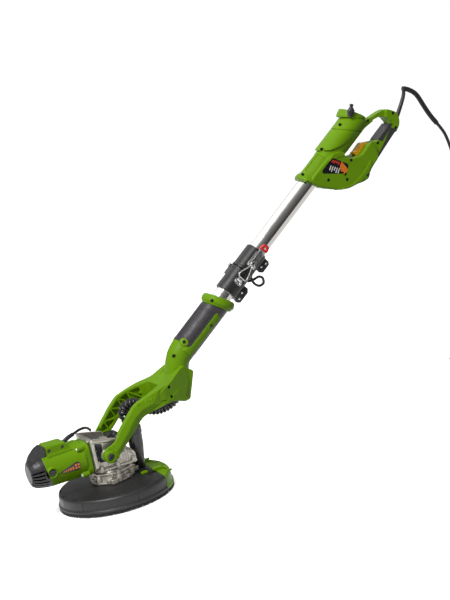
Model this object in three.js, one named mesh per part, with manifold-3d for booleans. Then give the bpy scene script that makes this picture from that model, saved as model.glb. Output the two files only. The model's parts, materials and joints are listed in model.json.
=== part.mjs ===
// Long-reach drywall sander that folds in the middle of its pole.
//
// Units are millimetres and +Z is up. The sanding disc lies flat, its axis is Z, and the pole rises
// towards +X. Two working frames are used below: the head frame has its origin under the centre of
// the disc on the work surface, and the pole frame has +X along the pole and its origin on the pole
// axis at the fold. The whole model is finally shifted so that its origin is the middle of the rear grip.

import * as THREE from 'three';
import { mergeVertices } from 'three/addons/utils/BufferGeometryUtils.js';
import Module from 'manifold-3d';

const wasm = await Module();
wasm.setup();

// Driving dimensions
const DEG = Math.PI / 180;
const GAP = 0.3;                  // clearance between touching pieces
const POLE_TILT = 36 * DEG;       // pole above the work surface
const POLE_START = [405, 0, 400]; // pole frame origin in the head frame
const GRIP = [440, -76];          // middle of the rear grip, in the pole frame
const TUBE_R = 20;
const TUBE_WALL = 2;
const SLEEVE_R = 25;
const SPLIT = -11;                // where the pole parts when it folds
const FOLD_PIN = [SPLIT, 31.5];   // fold pin beside the pole: x, y in the pole frame
const DISC_R = 112.5;
const RIM_R = 126;
const SEGMENT_X = 83;             // straight cut for sanding close to a wall
const PIVOT = [-16, 107];         // fork pivot: x, z in the head frame
const MOTOR_Z = PIVOT[1];
const MOTOR_R = 37.5;
const FORK_HALF = 65;
const ARM_IN = 47.5;              // inner face of a fork arm
const ARM_END_IN = 56;            // inner face beside the pivot, where the arm is thinner
const CROWN_TEETH = 24;
const PINION_TEETH = 10;
const PINION_PITCH_R = 8.75;
const CROWN_PITCH_R = PINION_PITCH_R * CROWN_TEETH / PINION_TEETH;
const CORD_R = 3.75;
const COIL_R = 44;                // middle of the coiled turns
const COIL_AT = [1080, 45];
const TIE = 0.8;                  // thickness of the hook-and-loop tie
const TIE_HALF = 9;

// Materials
const finish = (color, roughness, metalness = 0) => ({ color, roughness, metalness });
const LIME = finish('#6f9a08', 0.42);
const DARK = finish('#2c2c2d', 0.6);
const SOFT = finish('#47424a', 0.85);
const BLACK = finish('#17171a', 0.5);
const ALLOY = finish('#aca79d', 0.45, 0.85);
const TUBE = finish('#d5d6d8', 0.25, 1);
const STEEL = finish('#8e9094', 0.35, 1);
const COPPER = finish('#9a5a2c', 0.4, 0.9);
const ORANGE = finish('#e79a12', 0.45);
const RED = finish('#c8322c', 0.5);
const BRISTLE = finish('#1c1c1c', 0.95);
const GRIT = finish('#8a6a45', 1);
const RUBBER = finish('#1d1d1f', 0.75);

// Solids and booleans
function solid(geometry) {
  const bare = geometry.clone();
  bare.deleteAttribute('normal');
  bare.deleteAttribute('uv');
  const merged = mergeVertices(bare, 1e-4);
  const corner = merged.index.array;
  const kept = [];
  for (let i = 0; i < corner.length; i += 3) {
    const [a, b, c] = [corner[i], corner[i + 1], corner[i + 2]];
    if (a !== b && b !== c && a !== c) kept.push(a, b, c);
  }
  const place = merged.attributes.position;
  const point = i => new THREE.Vector3().fromBufferAttribute(place, i);
  let volume = 0;
  for (let i = 0; i < kept.length; i += 3) {
    volume += point(kept[i]).dot(point(kept[i + 1]).cross(point(kept[i + 2])));
  }
  if (volume < 0) kept.reverse();
  return new wasm.Manifold(new wasm.Mesh({
    numProp: 3,
    vertProperties: new Float32Array(place.array),
    triVerts: new Uint32Array(kept),
  }));
}

function join(...solids) {
  return solids.reduce((whole, piece) => whole.add(piece));
}

function cut(whole, ...tools) {
  return tools.reduce((left, tool) => left.subtract(tool), whole);
}

function geometryOf(body) {
  const { vertProperties, triVerts } = body.getMesh();
  const geometry = new THREE.BufferGeometry();
  geometry.setAttribute('position', new THREE.BufferAttribute(vertProperties, 3));
  geometry.setIndex(new THREE.BufferAttribute(triVerts, 1));
  geometry.computeVertexNormals();
  return geometry;
}

// Near side (-1) and far side (+1) of the tool, and a distance range mirrored onto a side.
const both = make => [-1, 1].map(make);
const nameOf = side => (side < 0 ? 'near' : 'far');
const span = (side, from, to) => (side < 0 ? [-to, -from] : [from, to]);

// Primitive shapes. A point is x, y, z in the frame of the group that holds the piece.
function block(low, high) {
  const size = high.map((value, k) => value - low[k]);
  const geometry = new THREE.BoxGeometry(...size);
  geometry.translate(...low.map((value, k) => value + size[k] / 2));
  return solid(geometry);
}

function alongAxis(geometry, axis) {
  if (axis === 'x') geometry.rotateZ(-Math.PI / 2);
  if (axis === 'z') geometry.rotateX(Math.PI / 2);
  return geometry;
}

function place(geometry, axis, middle, [a, b]) {
  if (axis === 'x') geometry.translate(middle, a, b);
  if (axis === 'y') geometry.translate(a, middle, b);
  if (axis === 'z') geometry.translate(a, b, middle);
  return geometry;
}

// A round bar along an axis; at gives the two other coordinates.
function rod(axis, radius, from, to, at = [0, 0], sides = 20, endRadius = radius) {
  const length = to - from;
  const geometry = alongAxis(new THREE.CylinderGeometry(endRadius, radius, length, sides), axis);
  return solid(place(geometry, axis, from + length / 2, at));
}

// A turned body: profile points are radius and distance along the axis.
function turned(axis, profile, at = [0, 0], sides = 30) {
  const closed = profile[0][0] > 0;
  const points = profile.map(([r, h]) => new THREE.Vector2(r, h));
  if (closed) points.push(points[0].clone());
  return solid(place(alongAxis(new THREE.LatheGeometry(points, sides), axis), axis, 0, at));
}

function ring(axis, inner, outer, from, to, at, sides = 24) {
  return turned(axis, [[inner, from], [outer, from], [outer, to], [inner, to]], at, sides);
}

// An outline with rounded corners. A corner is x, y and an optional radius of its own.
function rounded(corners, radius) {
  const shape = new THREE.Shape();
  const count = corners.length;
  corners.forEach(([x, y, own = radius], i) => {
    const here = new THREE.Vector2(x, y);
    const before = new THREE.Vector2(...corners[(i + count - 1) % count].slice(0, 2));
    const after = new THREE.Vector2(...corners[(i + 1) % count].slice(0, 2));
    const toward = other => {
      const length = here.distanceTo(other);
      return here.clone().lerp(other, Math.min(own, length / 2.05) / length);
    };
    const start = toward(before);
    const end = toward(after);
    if (i === 0) {
      shape.moveTo(start.x, start.y);
    } else {
      shape.lineTo(start.x, start.y);
    }
    shape.quadraticCurveTo(x, y, end.x, end.y);
  });
  shape.closePath();
  return shape;
}

// A plate parallel to the XZ plane, between two y values, with bevelled edges.
function sidePlate(shape, low, high, bevel = 0, curveSegments = 2) {
  const geometry = new THREE.ExtrudeGeometry(shape, {
    depth: high - low - 2 * bevel,
    bevelEnabled: bevel > 0,
    bevelThickness: bevel,
    bevelSize: bevel,
    bevelOffset: -bevel,
    bevelSegments: 1,
    curveSegments,
  });
  geometry.rotateX(Math.PI / 2);
  geometry.translate(0, high - bevel, 0);
  return solid(geometry);
}

// A plate parallel to the XY plane, between two z values.
function flatPlate(shape, low, high, curveSegments = 2) {
  const depth = high - low;
  const geometry = new THREE.ExtrudeGeometry(shape, { depth, bevelEnabled: false, curveSegments });
  geometry.translate(0, 0, low);
  return solid(geometry);
}

// A plate parallel to the YZ plane: its outline is given in y and z.
function endPlate(shape, low, high, curveSegments = 2) {
  const depth = high - low;
  const geometry = new THREE.ExtrudeGeometry(shape, { depth, bevelEnabled: false, curveSegments });
  geometry.applyMatrix4(new THREE.Matrix4().set(0, 0, 1, low, 1, 0, 0, 0, 0, 1, 0, 0, 0, 0, 0, 1));
  return solid(geometry);
}

// A round tube or bar along a smooth curve through points.
function alongCurve(points, radius, { sides = 10, steps = 30, bore = 0 } = {}) {
  const curve = new THREE.CatmullRomCurve3(points.map(p => new THREE.Vector3(...p)), false, 'centripetal');
  const section = new THREE.Shape().absarc(0, 0, radius, 0, 2 * Math.PI);
  if (bore) section.holes.push(new THREE.Path().absarc(0, 0, bore, 0, 2 * Math.PI, true));
  return solid(new THREE.ExtrudeGeometry(section, { extrudePath: curve, steps, curveSegments: sides / 2 }));
}

// Frames
const object = new THREE.Group();
const head = new THREE.Group();
const pole = new THREE.Group();
pole.position.set(...POLE_START);
pole.rotation.y = -POLE_TILT;
head.add(pole);
object.add(head);
pole.updateMatrix();
const toPole = pole.matrix.clone().invert();
const gripPoint = new THREE.Vector3(GRIP[0], 0, GRIP[1]).applyMatrix4(pole.matrix);
head.position.copy(gripPoint).negate();

function add(group, name, body, look) {
  const mesh = new THREE.Mesh(geometryOf(body), new THREE.MeshStandardMaterial(look));
  mesh.name = name;
  group.add(mesh);
}

// Moves a body from the head frame into the pole frame.
function intoPole(body) {
  return body.transform([...toPole.elements]);
}

// ---- Sanding head: shroud, brush, pad and disc --------------------------------------------------

const SHROUD_PROFILE = [
  [31, 39.5], [31, 42.5], [60, 41], [118, 36], [122.5, 31], [123.5, 15], [RIM_R, 13],
  [RIM_R, 8.4], [120.4, 8.4], [119, 32], [60, 38],
];
const BRUSH_PROFILE = [[121, 0], [125.8, 0], [125.8, 8.1], [121, 8.1]];
const TONGUE_Y = 40;
const inSegment = block([SEGMENT_X + GAP, -150, -5], [150, 150, 60]);
const outsideSegment = block([-150, -150, -5], [SEGMENT_X, 150, 60]);

function shroud() {
  const cover = turned('z', SHROUD_PROFILE, [0, 0], 40).intersect(outsideSegment);
  const bridges = both(side => {
    const y = side * TONGUE_Y;
    return cut(
      block([65, y - 8, 38.5], [73, y + 8, 49]),
      block([60, y - 5.5, 36], [80, y + 5.5, 46]),
    );
  });
  return cut(join(cover, ...bridges), rod('z', 10.5, 30, 60, [66, 0], 24));
}

function edgeSegment() {
  const cover = turned('z', SHROUD_PROFILE, [0, 0], 40).intersect(inSegment);
  const tongues = both(side => {
    const y = side * TONGUE_Y;
    return block([52, y - 5, 41.4], [98, y + 5, 45.6]);
  });
  const ribs = both(side => block([84, side * TONGUE_Y - 5, 36.5], [98, side * TONGUE_Y + 5, 43]));
  return join(cover, ...tongues, ...ribs);
}

const dustHoles = (low, high) => Array.from({ length: 8 }, (_, k) => {
  const angle = k * 45 * DEG;
  return rod('z', 5, low, high, [78 * Math.cos(angle), 78 * Math.sin(angle)], 8);
});

add(head, 'shroud', shroud(), DARK);
add(head, 'edge_segment', edgeSegment(), LIME);
add(head, 'brush_ring', turned('z', BRUSH_PROFILE, [0, 0], 40).intersect(outsideSegment), BRISTLE);
add(head, 'segment_brush', turned('z', BRUSH_PROFILE, [0, 0], 40).intersect(inSegment), BRISTLE);
add(head, 'backing_pad', cut(
  turned('z', [[0, 8.3], [DISC_R - 1, 8.3], [DISC_R, 12], [DISC_R - 2, 19], [40, 21], [24, 26], [0, 26]]),
  ...dustHoles(0, 40),
), BLACK);
add(head, 'abrasive_disc', cut(rod('z', DISC_R, 4, 8, [0, 0], 28), ...dustHoles(0, 40)), GRIT);

// ---- Gearbox ------------------------------------------------------------------------------------

const SPINDLE_R = 6;
const GEARBOX_SIDE = rounded([
  [-36.5, 70], [51, 70], [51, 92], [42, 103], [16, 110], [14, 127], [-10, 131], [-36.5, 128],
], 5);

function gearHousing() {
  const body = turned('z', [
    [13.3, 33], [30.5, 33], [30.5, 42.8], [42, 42.8], [42, 60], [38, 69.7], [31, 69.7], [31, 50],
    [13.3, 50],
  ], [0, 0], 24);
  const bosses = Array.from({ length: 6 }, (_, k) => {
    const angle = (30 + 60 * k) * DEG;
    return rod('z', 6.5, 43, 66, [43 * Math.cos(angle), 43 * Math.sin(angle)], 8);
  });
  return join(body, ...bosses);
}

function gearboxCover() {
  const body = join(
    sidePlate(GEARBOX_SIDE, -31, 31, 2.5),
    rod('x', 30, -47, -30, [0, MOTOR_Z], 32),
  );
  return cut(
    body,
    rod('z', 28.5, 60, 109, [0, 0], 28),
    rod('z', 12.3, 100, 117, [0, 0], 20),
    rod('x', 14.5, -60, -10, [0, MOTOR_Z], 20),
  );
}

function crownGear() {
  const blank = ring('z', SPINDLE_R + GAP, 27, 86, 96.5, [0, 0], 24);
  const tooth = solid(new THREE.BoxGeometry(9, 1.2, 2).translate(CROWN_PITCH_R, 0, 97));
  const step = 360 / CROWN_TEETH;
  const teeth = Array.from({ length: CROWN_TEETH }, (_, k) => tooth.rotate([0, 0, (k + 0.5) * step]));
  return join(blank, ...teeth);
}

function pinion() {
  const blank = ring('x', 5 + GAP, 7.3, -29, -14, [0, 0], 20);
  const tooth = solid(new THREE.BoxGeometry(12, 1.2, 3.4).translate(-21.5, 0, 8.3));
  const step = 360 / PINION_TEETH;
  const teeth = Array.from({ length: PINION_TEETH }, (_, k) => tooth.rotate([k * step, 0, 0]));
  return join(blank, ...teeth).translate([0, 0, MOTOR_Z]);
}

add(head, 'gear_housing', gearHousing(), ALLOY);
add(head, 'gearbox_cover', gearboxCover(), ALLOY);
add(head, 'spindle', rod('z', SPINDLE_R, 26.3, 116), STEEL);
add(head, 'crown_gear', crownGear(), STEEL);
add(head, 'pinion', pinion(), STEEL);
add(head, 'lower_bearing', ring('z', SPINDLE_R + GAP, 13, 36, 46), STEEL);
add(head, 'upper_bearing', ring('z', SPINDLE_R + GAP, 12, 109, 116), STEEL);

// ---- Motor --------------------------------------------------------------------------------------

const atMotor = [0, MOTOR_Z];
const brushAt = [-138.5, MOTOR_Z];
const FAN_BLADES = 8;

function motorHousing() {
  const barrel = ring('x', 34, MOTOR_R, -150, -58, atMotor);
  const flange = endPlate(rounded([[-36, 71], [36, 71], [36, 143], [-36, 143]], 20), -58.5, -47.3);
  const collar = ring('x', 22, MOTOR_R, -62, -58, atMotor);
  const bosses = both(side => cut(
    rod('y', 11, ...span(side, 33, 41), brushAt, 16),
    rod('x', 34.5, -160, -120, atMotor),
  ));
  const bored = cut(join(barrel, collar, flange, ...bosses), rod('x', 22, -70, -40, atMotor, 24));
  return cut(bored, ...both(side => rod('y', 7.8, ...span(side, 30, 45), brushAt, 16)));
}

function motorEndCap() {
  const shell = turned('x', [
    [33.5, -150.3], [MOTOR_R, -150.3], [MOTOR_R, -168], [34, -178],
    [0, -180], [0, -176], [31.5, -174], [33.5, -167],
  ], atMotor, 28);
  const hump = cut(
    sidePlate(rounded([
      [-160, 118, 1], [-137, 130, 1], [-137, 161, 1], [-152, 156], [-168, 143], [-177, 125],
    ], 6), -20, 20),
    rod('x', MOTOR_R + GAP, -150.3, -130, atMotor, 40),
    rod('x', 33, -170, -130, atMotor, 28),
  );
  const slots = Array.from({ length: 9 }, (_, k) => {
    const slot = solid(new THREE.BoxGeometry(14, 3, 14).translate(-160, 0, -36));
    return slot.rotate([(k - 4) * 13, 0, 0]).translate([0, 0, MOTOR_Z]);
  });
  return cut(join(shell, hump), ...slots);
}

function cableBox() {
  const outline = rounded([[-136.5, 136, 3], [-88, 136], [-84, 148], [-94, 158], [-136.5, 161, 3]], 6);
  const shell = sidePlate(outline, -21, 21, 1.5);
  const inside = block([-133, -17, 130], [-92, 17, 156]);
  return cut(shell, inside, rod('x', MOTOR_R + 0.8, -160, -70, atMotor, 30));
}

function coolingFan() {
  const hub = ring('x', 5 + GAP, 12, -74, -64, atMotor, 16);
  const disc = ring('x', 11, 31, -66, -64, atMotor, 24);
  const blade = solid(new THREE.BoxGeometry(8.5, 1.6, 20).translate(-69.5, 0, 21));
  const blades = Array.from({ length: FAN_BLADES }, (_, k) => (
    blade.rotate([k * 360 / FAN_BLADES, 0, 0]).translate([0, 0, MOTOR_Z])
  ));
  return join(hub, disc, ...blades);
}

add(head, 'motor_housing', motorHousing(), LIME);
add(head, 'motor_end_cap', motorEndCap(), BLACK);
add(head, 'cable_box', cableBox(), LIME);
add(head, 'stator', ring('x', 25.5, 33.6, -128, -80, atMotor, 30), STEEL);
add(head, 'armature', join(
  rod('x', 5, -172, -13, atMotor, 20),
  rod('x', 24.5, -126, -82, atMotor, 28),
  rod('x', 14, -148, -132, atMotor, 20),
), COPPER);
add(head, 'cooling_fan', coolingFan(), BLACK);
add(head, 'front_bearing', ring('x', 5 + GAP, 14, -57, -50, atMotor), STEEL);
both(side => {
  const cap = rod('y', 7.4, ...span(side, 30, 40), brushAt, 16);
  add(head, `brush_cap_${nameOf(side)}`, cap, BLACK);
});

const LEAD_ROUTE = [
  [-88, 0, 153], [-76, 0, 158.5], [-62, 1, 162.5], [-48, 6, 165], [-34, 15, 163], [-22, 26, 157],
  [-14, 35, 148.5],
];
add(head, 'motor_lead', alongCurve(LEAD_ROUTE, 3, { sides: 8, steps: 20 }), RUBBER);

// ---- Gimbal between the head and the fork -------------------------------------------------------

const CHEEK_IN = 38.5;
const CHEEK_OUT = 44.5;
const BOLT_R = 5;

function gimbalFrame() {
  const plate = endPlate(rounded([
    [-CHEEK_OUT, 85, 3], [-24, 71.5, 5], [24, 71.5, 5], [CHEEK_OUT, 85, 3],
    [CHEEK_OUT, 148, 22], [-CHEEK_OUT, 148, 22],
  ], 5), -46, -38.5, 3);
  const cheeks = both(side => {
    const outline = rounded([
      [-46, 85], [-38.5, 85], [-38.5, 139], [-22, 134], [-24, 107], [-8, 107], [0, 122], [14, 125],
      [12, 137], [-37, 149], [-46, 149],
    ], 3);
    const cheek = sidePlate(outline, ...span(side, CHEEK_IN, CHEEK_OUT));
    return join(cheek, rod('y', 13, ...span(side, CHEEK_IN, 47), PIVOT, 24));
  });
  const boltHoles = both(side => rod('y', BOLT_R + GAP, ...span(side, 30, 60), PIVOT, 16));
  return cut(join(plate, ...cheeks), rod('x', 30.5, -60, -30, atMotor, 32), ...boltHoles);
}

add(head, 'gimbal_frame', gimbalFrame(), ALLOY);
both(side => {
  const bolt = rod('y', BOLT_R, ...span(side, CHEEK_IN, 70), PIVOT, 16);
  add(head, `pivot_bolt_${nameOf(side)}`, bolt, STEEL);
});

// ---- Dust duct and hose -------------------------------------------------------------------------

const HOSE_ROUTE = [
  [71, 0, 133.5], [66, 0, 148], [59, 0, 160], [57, 0, 173], [66, 0, 183], [82, 0, 184], [99, 0, 175],
  [115, 0, 163], [134, 0, 156.5], [154, 0, 157], [172, 0, 163], [184, 0, 174], [192, 0, 185],
];

function dustDuct() {
  const pipe = turned('z', [[10, 0], [12, 0], [14.5, 88], [14.5, 94], [12.5, 94], [12.5, 88]], [0, 0], 24);
  return pipe.rotate([0, 3, 0]).translate([64, 0, 38]).intersect(block([30, -40, 42.2], [110, 40, 132.8]));
}

add(head, 'dust_duct', dustDuct(), BLACK);

// ---- Lower handle and fork ----------------------------------------------------------------------

const FORK_SIDE = rounded([
  [-31, 107, 14], [-20, 92, 12], [-2, 96, 12], [18, 114, 6], [40, 132, 6], [58, 148, 8], [75, 165, 10],
  [98, 170, 8], [130, 174, 8], [160, 174, 8], [186, 163, 6], [201, 163, 5], [212, 190, 8], [224, 222, 8],
  [196, 236, 8], [168, 221, 10], [140, 215, 10], [114, 210, 10], [88, 204, 10], [64, 196, 10],
  [42, 176, 8], [20, 153, 6], [0, 131, 8], [-24, 124, 14],
], 6);
const FORK_PLAN_OUT = rounded([
  [-60, -FORK_HALF], [108, -FORK_HALF, 12], [172, -44, 40], [206, -30, 20], [300, -30, 1],
  [300, 30, 1], [206, 30, 20], [172, 44, 40], [108, FORK_HALF, 12], [-60, FORK_HALF],
], 1);
const FORK_PLAN_IN = rounded([
  [-80, -ARM_IN], [98, -ARM_IN, 20], [137, -28, 10], [137, 28, 10], [98, ARM_IN, 20], [-80, ARM_IN],
], 1);
const NECK_ROUTE = [[195, 0, 212], [199, 0, 236], [208, 0, 254], [221, 0, 266.3], [233.5, 0, 275.4]];
const NECK_R = 26;
const TUBE_FROM = -226;
const GRIP_FROM = -222;
const SOFT_TO = -124;
const LEAN = 19 * DEG;   // the top of the guard collar leans back over the grip

function guardCollar() {
  const disc = turned('x', [[21, -11], [33, -11], [36.5, -5], [36.5, 6], [33.5, 11], [21, 11]], [0, 0], 28);
  return disc.rotate([0, -LEAN / DEG, 0]).translate([-99, 0, 0]);
}

function lowerHandle() {
  const beforeGrip = block([-900, -90, -300], [GRIP_FROM, 90, 300]);
  const arms = cut(
    sidePlate(FORK_SIDE, -FORK_HALF, FORK_HALF, 1.5).intersect(flatPlate(FORK_PLAN_OUT, 60, 330)),
    flatPlate(FORK_PLAN_IN, 60, 330),
    ...both(side => {
      const [near, far] = span(side, ARM_IN - 10, ARM_END_IN);
      return block([-60, near, 60], [14, far, 160]);
    }),
  );
  const bosses = both(side => rod('y', 13, ...span(side, ARM_IN, 70), PIVOT, 24));
  const lug = cut(
    sidePlate(rounded([[196, 160], [207, 161, 5], [213, 170, 5], [206, 177, 4], [198, 177]], 2), -5, 5),
    rod('y', 2.5, -9, 9, [206.5, 169], 12),
  );
  const bend = alongCurve(NECK_ROUTE, NECK_R, { sides: 24, steps: 8 });
  const fork = intoPole(join(arms, ...bosses, lug, bend)).intersect(beforeGrip);
  const neck = rod('x', NECK_R + 0.5, -238, GRIP_FROM, [0, 0], 28, 29);
  const core = rod('x', 25, GRIP_FROM - 1, -100, [0, 0], 28);
  const strips = both(side => {
    const [near, far] = span(side, 20, 28.8);
    return block([GRIP_FROM - 1, near, -15], [SOFT_TO, far, 0]);
  });
  const whole = join(fork, neck, core, ...strips, guardCollar());
  const cavity = intoPole(sidePlate(rounded([
    [150, 186], [186, 177], [198, 186], [206, 208], [174, 208], [152, 203],
  ], 4), -24, 24));
  const hoseInlet = intoPole(alongCurve(HOSE_ROUTE.slice(-4), 15.5, { sides: 12, steps: 7 }));
  const hoseEnd = [[190, 0, 182], [193, 0, 190], [195, 0, 198]];
  const hoseWay = intoPole(alongCurve(hoseEnd, 15.5, { sides: 12, steps: 3 }));
  const airWay = intoPole(alongCurve([[194, 0, 196], ...NECK_ROUTE], 14, { sides: 12, steps: 9 }));
  const pivots = intoPole(rod('y', BOLT_R + 0.4, -80, 80, PIVOT, 16));
  const tubeBore = rod('x', TUBE_R + GAP, TUBE_FROM - 0.5, -50, [0, 0], 28);
  return cut(whole, tubeBore, cavity, hoseInlet, hoseWay, airWay, pivots);
}

const whole = lowerHandle();
function halfOf(side) {
  const [near, far] = span(side, GAP / 2, 90);
  return block([-900, near, -500], [900, far, 500]);
}
both(side => {
  const tag = nameOf(side);
  const [near, far] = span(side, 15, 40);
  const wrap = ring('x', 25 + GAP, 29, GRIP_FROM + 0.5, -80, [0, 0], 28).intersect(halfOf(side));
  const kept = cut(
    wrap,
    block([-400, near, -15 - GAP], [SOFT_TO + GAP, far, GAP]),
    block([-11 - GAP, -60, -90], [90, 60, 90]).rotate([0, -LEAN / DEG, 0]).translate([-99, 0, 0]),
  );
  add(pole, `lower_handle_${tag}`, whole.intersect(halfOf(side)), LIME);
  add(pole, `lower_grip_top_${tag}`, kept.intersect(block([-400, -60, -5 + GAP / 2], [0, 60, 60])), SOFT);
  add(pole, `lower_grip_under_${tag}`, kept.intersect(block([-400, -60, -60], [0, 60, -5 - GAP / 2])), SOFT);
});
add(head, 'dust_hose', alongCurve(HOSE_ROUTE, 13, { sides: 8, steps: 18, bore: 10.5 }), RUBBER);

// ---- Pole and fold joint ------------------------------------------------------------------------

const FLANGE_HALF = 3.5;
const NOTCH = [-31, 13];
const cableNotch = block([NOTCH[0], -9, -40], [NOTCH[1], 9, -12]);
const LATCH_V = 2;

function tube(from, to) {
  return cut(ring('x', TUBE_R - TUBE_WALL, TUBE_R, from, to, [0, 0], 28), cableNotch);
}

// One hinge knuckle with its leaf; the leaf runs from the fold pin towards its own sleeve.
function knuckle(low, high, toward) {
  const [x, y] = FOLD_PIN;
  const leafEnd = x + toward * 22;
  const leaf = block([Math.min(x, leafEnd), 20, low], [Math.max(x, leafEnd), y, high]);
  const clearEnd = x - toward * 30;
  const clear = block([Math.min(x, clearEnd), 0, low - 1], [Math.max(x, clearEnd), 26, high + 1]);
  return join(cut(leaf, clear), rod('z', 5, low, high, FOLD_PIN, 16));
}

function sleeve(from, to, flangeFrom, flangeTo, knuckles, toward) {
  const body = ring('x', TUBE_R + GAP, SLEEVE_R, from, to, [0, 0], 28);
  const flange = block([flangeFrom, -FLANGE_HALF, -42], [flangeTo, FLANGE_HALF, -22]);
  const ears = knuckles.map(([low, high]) => knuckle(low, high, toward));
  return cut(
    join(body, flange, ...ears),
    cableNotch,
    rod('x', TUBE_R + GAP, from - 1, to + 1, [0, 0], 28),
    rod('z', 2.5, -30, 30, FOLD_PIN, 12),
  );
}

add(pole, 'lower_tube', tube(TUBE_FROM, SPLIT - 1.5), TUBE);
add(pole, 'upper_tube', tube(SPLIT + 1.5, 385), TUBE);
add(pole, 'lower_sleeve', sleeve(-71, SPLIT - 1, -68, -32, [[-18, -6.3], [6.3, 18]], -1), BLACK);
add(pole, 'upper_sleeve', sleeve(SPLIT + 1, 46, 14, 46, [[-6, 6]], 1), BLACK);
add(pole, 'fold_pin', rod('z', 2.2, -19, 19, FOLD_PIN, 12), STEEL);
add(pole, 'fold_cable', alongCurve([
  [-48, 0, -12], [-34, -1, -12.5], [-24, -3, -19], [-16, -5, -28], [-6, -5.5, -34], [5, -5.5, -39],
  [9, -4, -49], [2, -2, -59], [-8, 1, -56], [-11, 4, -44], [-7, 5.5, -33], [-1, 5, -24], [6, 2, -16],
  [16, 0, -12], [28, 0, -12],
], 3, { sides: 8, steps: 30 }), RUBBER);

const LEVER_PIN = [8, -28.8];
const BAIL_PIN = [20, -30.9];
add(pole, 'latch_catch', block([-46, -28, LATCH_V - 10], [-31, -25.3, LATCH_V + 10]), STEEL);
add(pole, 'latch_bracket', cut(
  join(...both(side => block([2, -31, LATCH_V + side * 8.6 - 1], [14, -25.3, LATCH_V + side * 8.6 + 1])),
    block([2, -26.3, LATCH_V - 9.6], [40, -25.3, LATCH_V + 9.6])),
  rod('z', 1.9, -30, 30, LEVER_PIN, 12),
), STEEL);
add(pole, 'latch_lever', join(
  rod('z', 1.6, LATCH_V - 9.6, LATCH_V + 9.6, LEVER_PIN, 12),
  ...both(side => block([6, -33, LATCH_V + side * 6.6 - 0.7], [46, -27.6, LATCH_V + side * 6.6 + 0.7])),
  block([26, -34, LATCH_V - 7.2], [47, -32.6, LATCH_V + 7.2]),
), STEEL);
add(pole, 'latch_tip', block([47.3, -35, LATCH_V - 9], [62, -28, LATCH_V + 9]), RED);
add(pole, 'latch_bail', alongCurve([
  [BAIL_PIN[0], BAIL_PIN[1], LATCH_V - 4.6], [12, -32.4, LATCH_V - 3.5], [2, -32.4, LATCH_V - 3.5],
  [-10, -30.4, LATCH_V - 7], [-24, -30, LATCH_V - 11], [-28.5, -30, LATCH_V - 8], [-28.5, -30, LATCH_V + 8],
  [-24, -30, LATCH_V + 11], [-10, -30.4, LATCH_V + 7], [2, -32.4, LATCH_V + 3.5], [12, -32.4, LATCH_V + 3.5],
  [BAIL_PIN[0], BAIL_PIN[1], LATCH_V + 4.6],
], 1.2, { sides: 6, steps: 32 }), STEEL);

// ---- Rear handle --------------------------------------------------------------------------------

const BARREL_R = 27.5;
const PORT_AXIS = 35.5 * DEG;
const PORT_AT = [419, 12];
const BELLY = [
  [238, 9], [240, -11], [254, -35], [273, -62], [291, -77], [314, -88], [324, -95], [340, -101],
  [352, -94], [367, -91], [392, -89], [404, -70], [403, -44], [366, -45], [352, -38], [342, -30],
  [337, -14], [326, 2], [312, 10], [250, 12],
];
const RING = [
  [350, -97], [385, -93], [422, -90], [465, -87], [469, -89.5], [482, -88], [490, -83], [497, -75],
  [501, -65], [500, -56], [495, -46], [489, -36], [471, -27.5], [452, -22], [432, -8], [425, 4],
  [380, 4], [350, -20],
];
const HAND_HOLE = rounded([
  [339, -26], [345, -22.5], [418, -22], [440, -26.5], [458, -32.5], [470, -39.5], [477, -50], [476, -61],
  [471, -66], [420, -66], [408, -56], [402, -50.5], [368, -52], [354, -44], [343, -37],
], 4);
// The front bar of the handle is narrower than the grip.
const BAR_HALF = 10;
const BAR_SIDES = [
  [430, 6], [444.5, -20.5], [448, -30.5], [459, -34], [471, -41], [476.5, -49], [484, -41], [491, -37],
  [493, -20], [470, 6],
];

// Turns a body that stands along +X on the pole axis so that it stands along the dust port axis.
function onPort(body) {
  return body.rotate([0, -PORT_AXIS / DEG, 0]).translate([PORT_AT[0], 0, PORT_AT[1]]);
}

function rearHandle() {
  const slanted = rounded([[250, 60], [290, 53], [355, 0], [385, -30], [250, -30]], 1);
  const nose = cut(rod('x', 31.5, 232, 250, [0, 0], 28, BARREL_R + 1), sidePlate(rounded([
    [220, 14], [238, 14], [241, -9], [256, -36], [220, -36],
  ], 1), -50, 50));
  const wideBarrel = rod('x', 1, 300, 430, [0, 0], 32).scale([1, 31.5, 27]).translate([0, 0, 5.5]);
  const barrel = join(
    rod('x', BARREL_R, 246, 404, [0, 0], 28),
    nose,
    cut(wideBarrel, sidePlate(slanted, -50, 50)),
  );
  const belly = sidePlate(rounded(BELLY, 5), -30, 30, 4);
  const bar = both(side => sidePlate(rounded(BAR_SIDES, 2), ...span(side, BAR_HALF, 40)));
  const handle = cut(sidePlate(rounded(RING, 7), -18, 18, 1.5), ...bar);
  const abovePort = onPort(block([0, -60, -80], [90, 60, 60]));
  const collarClear = onPort(rod('x', 33, 0, 60, [0, 0], 28));
  let body = join(cut(join(barrel, belly), abovePort), cut(handle, collarClear));
  body = cut(body, sidePlate(HAND_HOLE, -40, 40));
  const bellyRoom = sidePlate(rounded([
    [264, -28], [284, -62], [298, -73], [318, -84], [340, -94], [352, -88], [380, -84], [396, -72],
    [352, -58], [335, -40], [331, -22], [318, 2], [306, 6], [272, 6],
  ], 5), -26, 26);
  const gripRoom = sidePlate(rounded([
    [380, -71.5], [464, -71.5], [468, -80], [462, -84.5], [380, -86.5],
  ], 3), -13, 13);
  const portRoom = onPort(rod('x', 24, -14, 10, [0, 0], 28));
  const triggerSlot = block([359.6, -9, -80], [409.5, 9, -38]);
  return cut(
    body,
    rod('x', TUBE_R + GAP, 200, 408, [0, 0], 28),
    bellyRoom,
    gripRoom,
    portRoom,
    triggerSlot,
    rod('x', CORD_R + 1.2, 440, 520, [0, -77], 20),
  );
}

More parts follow.
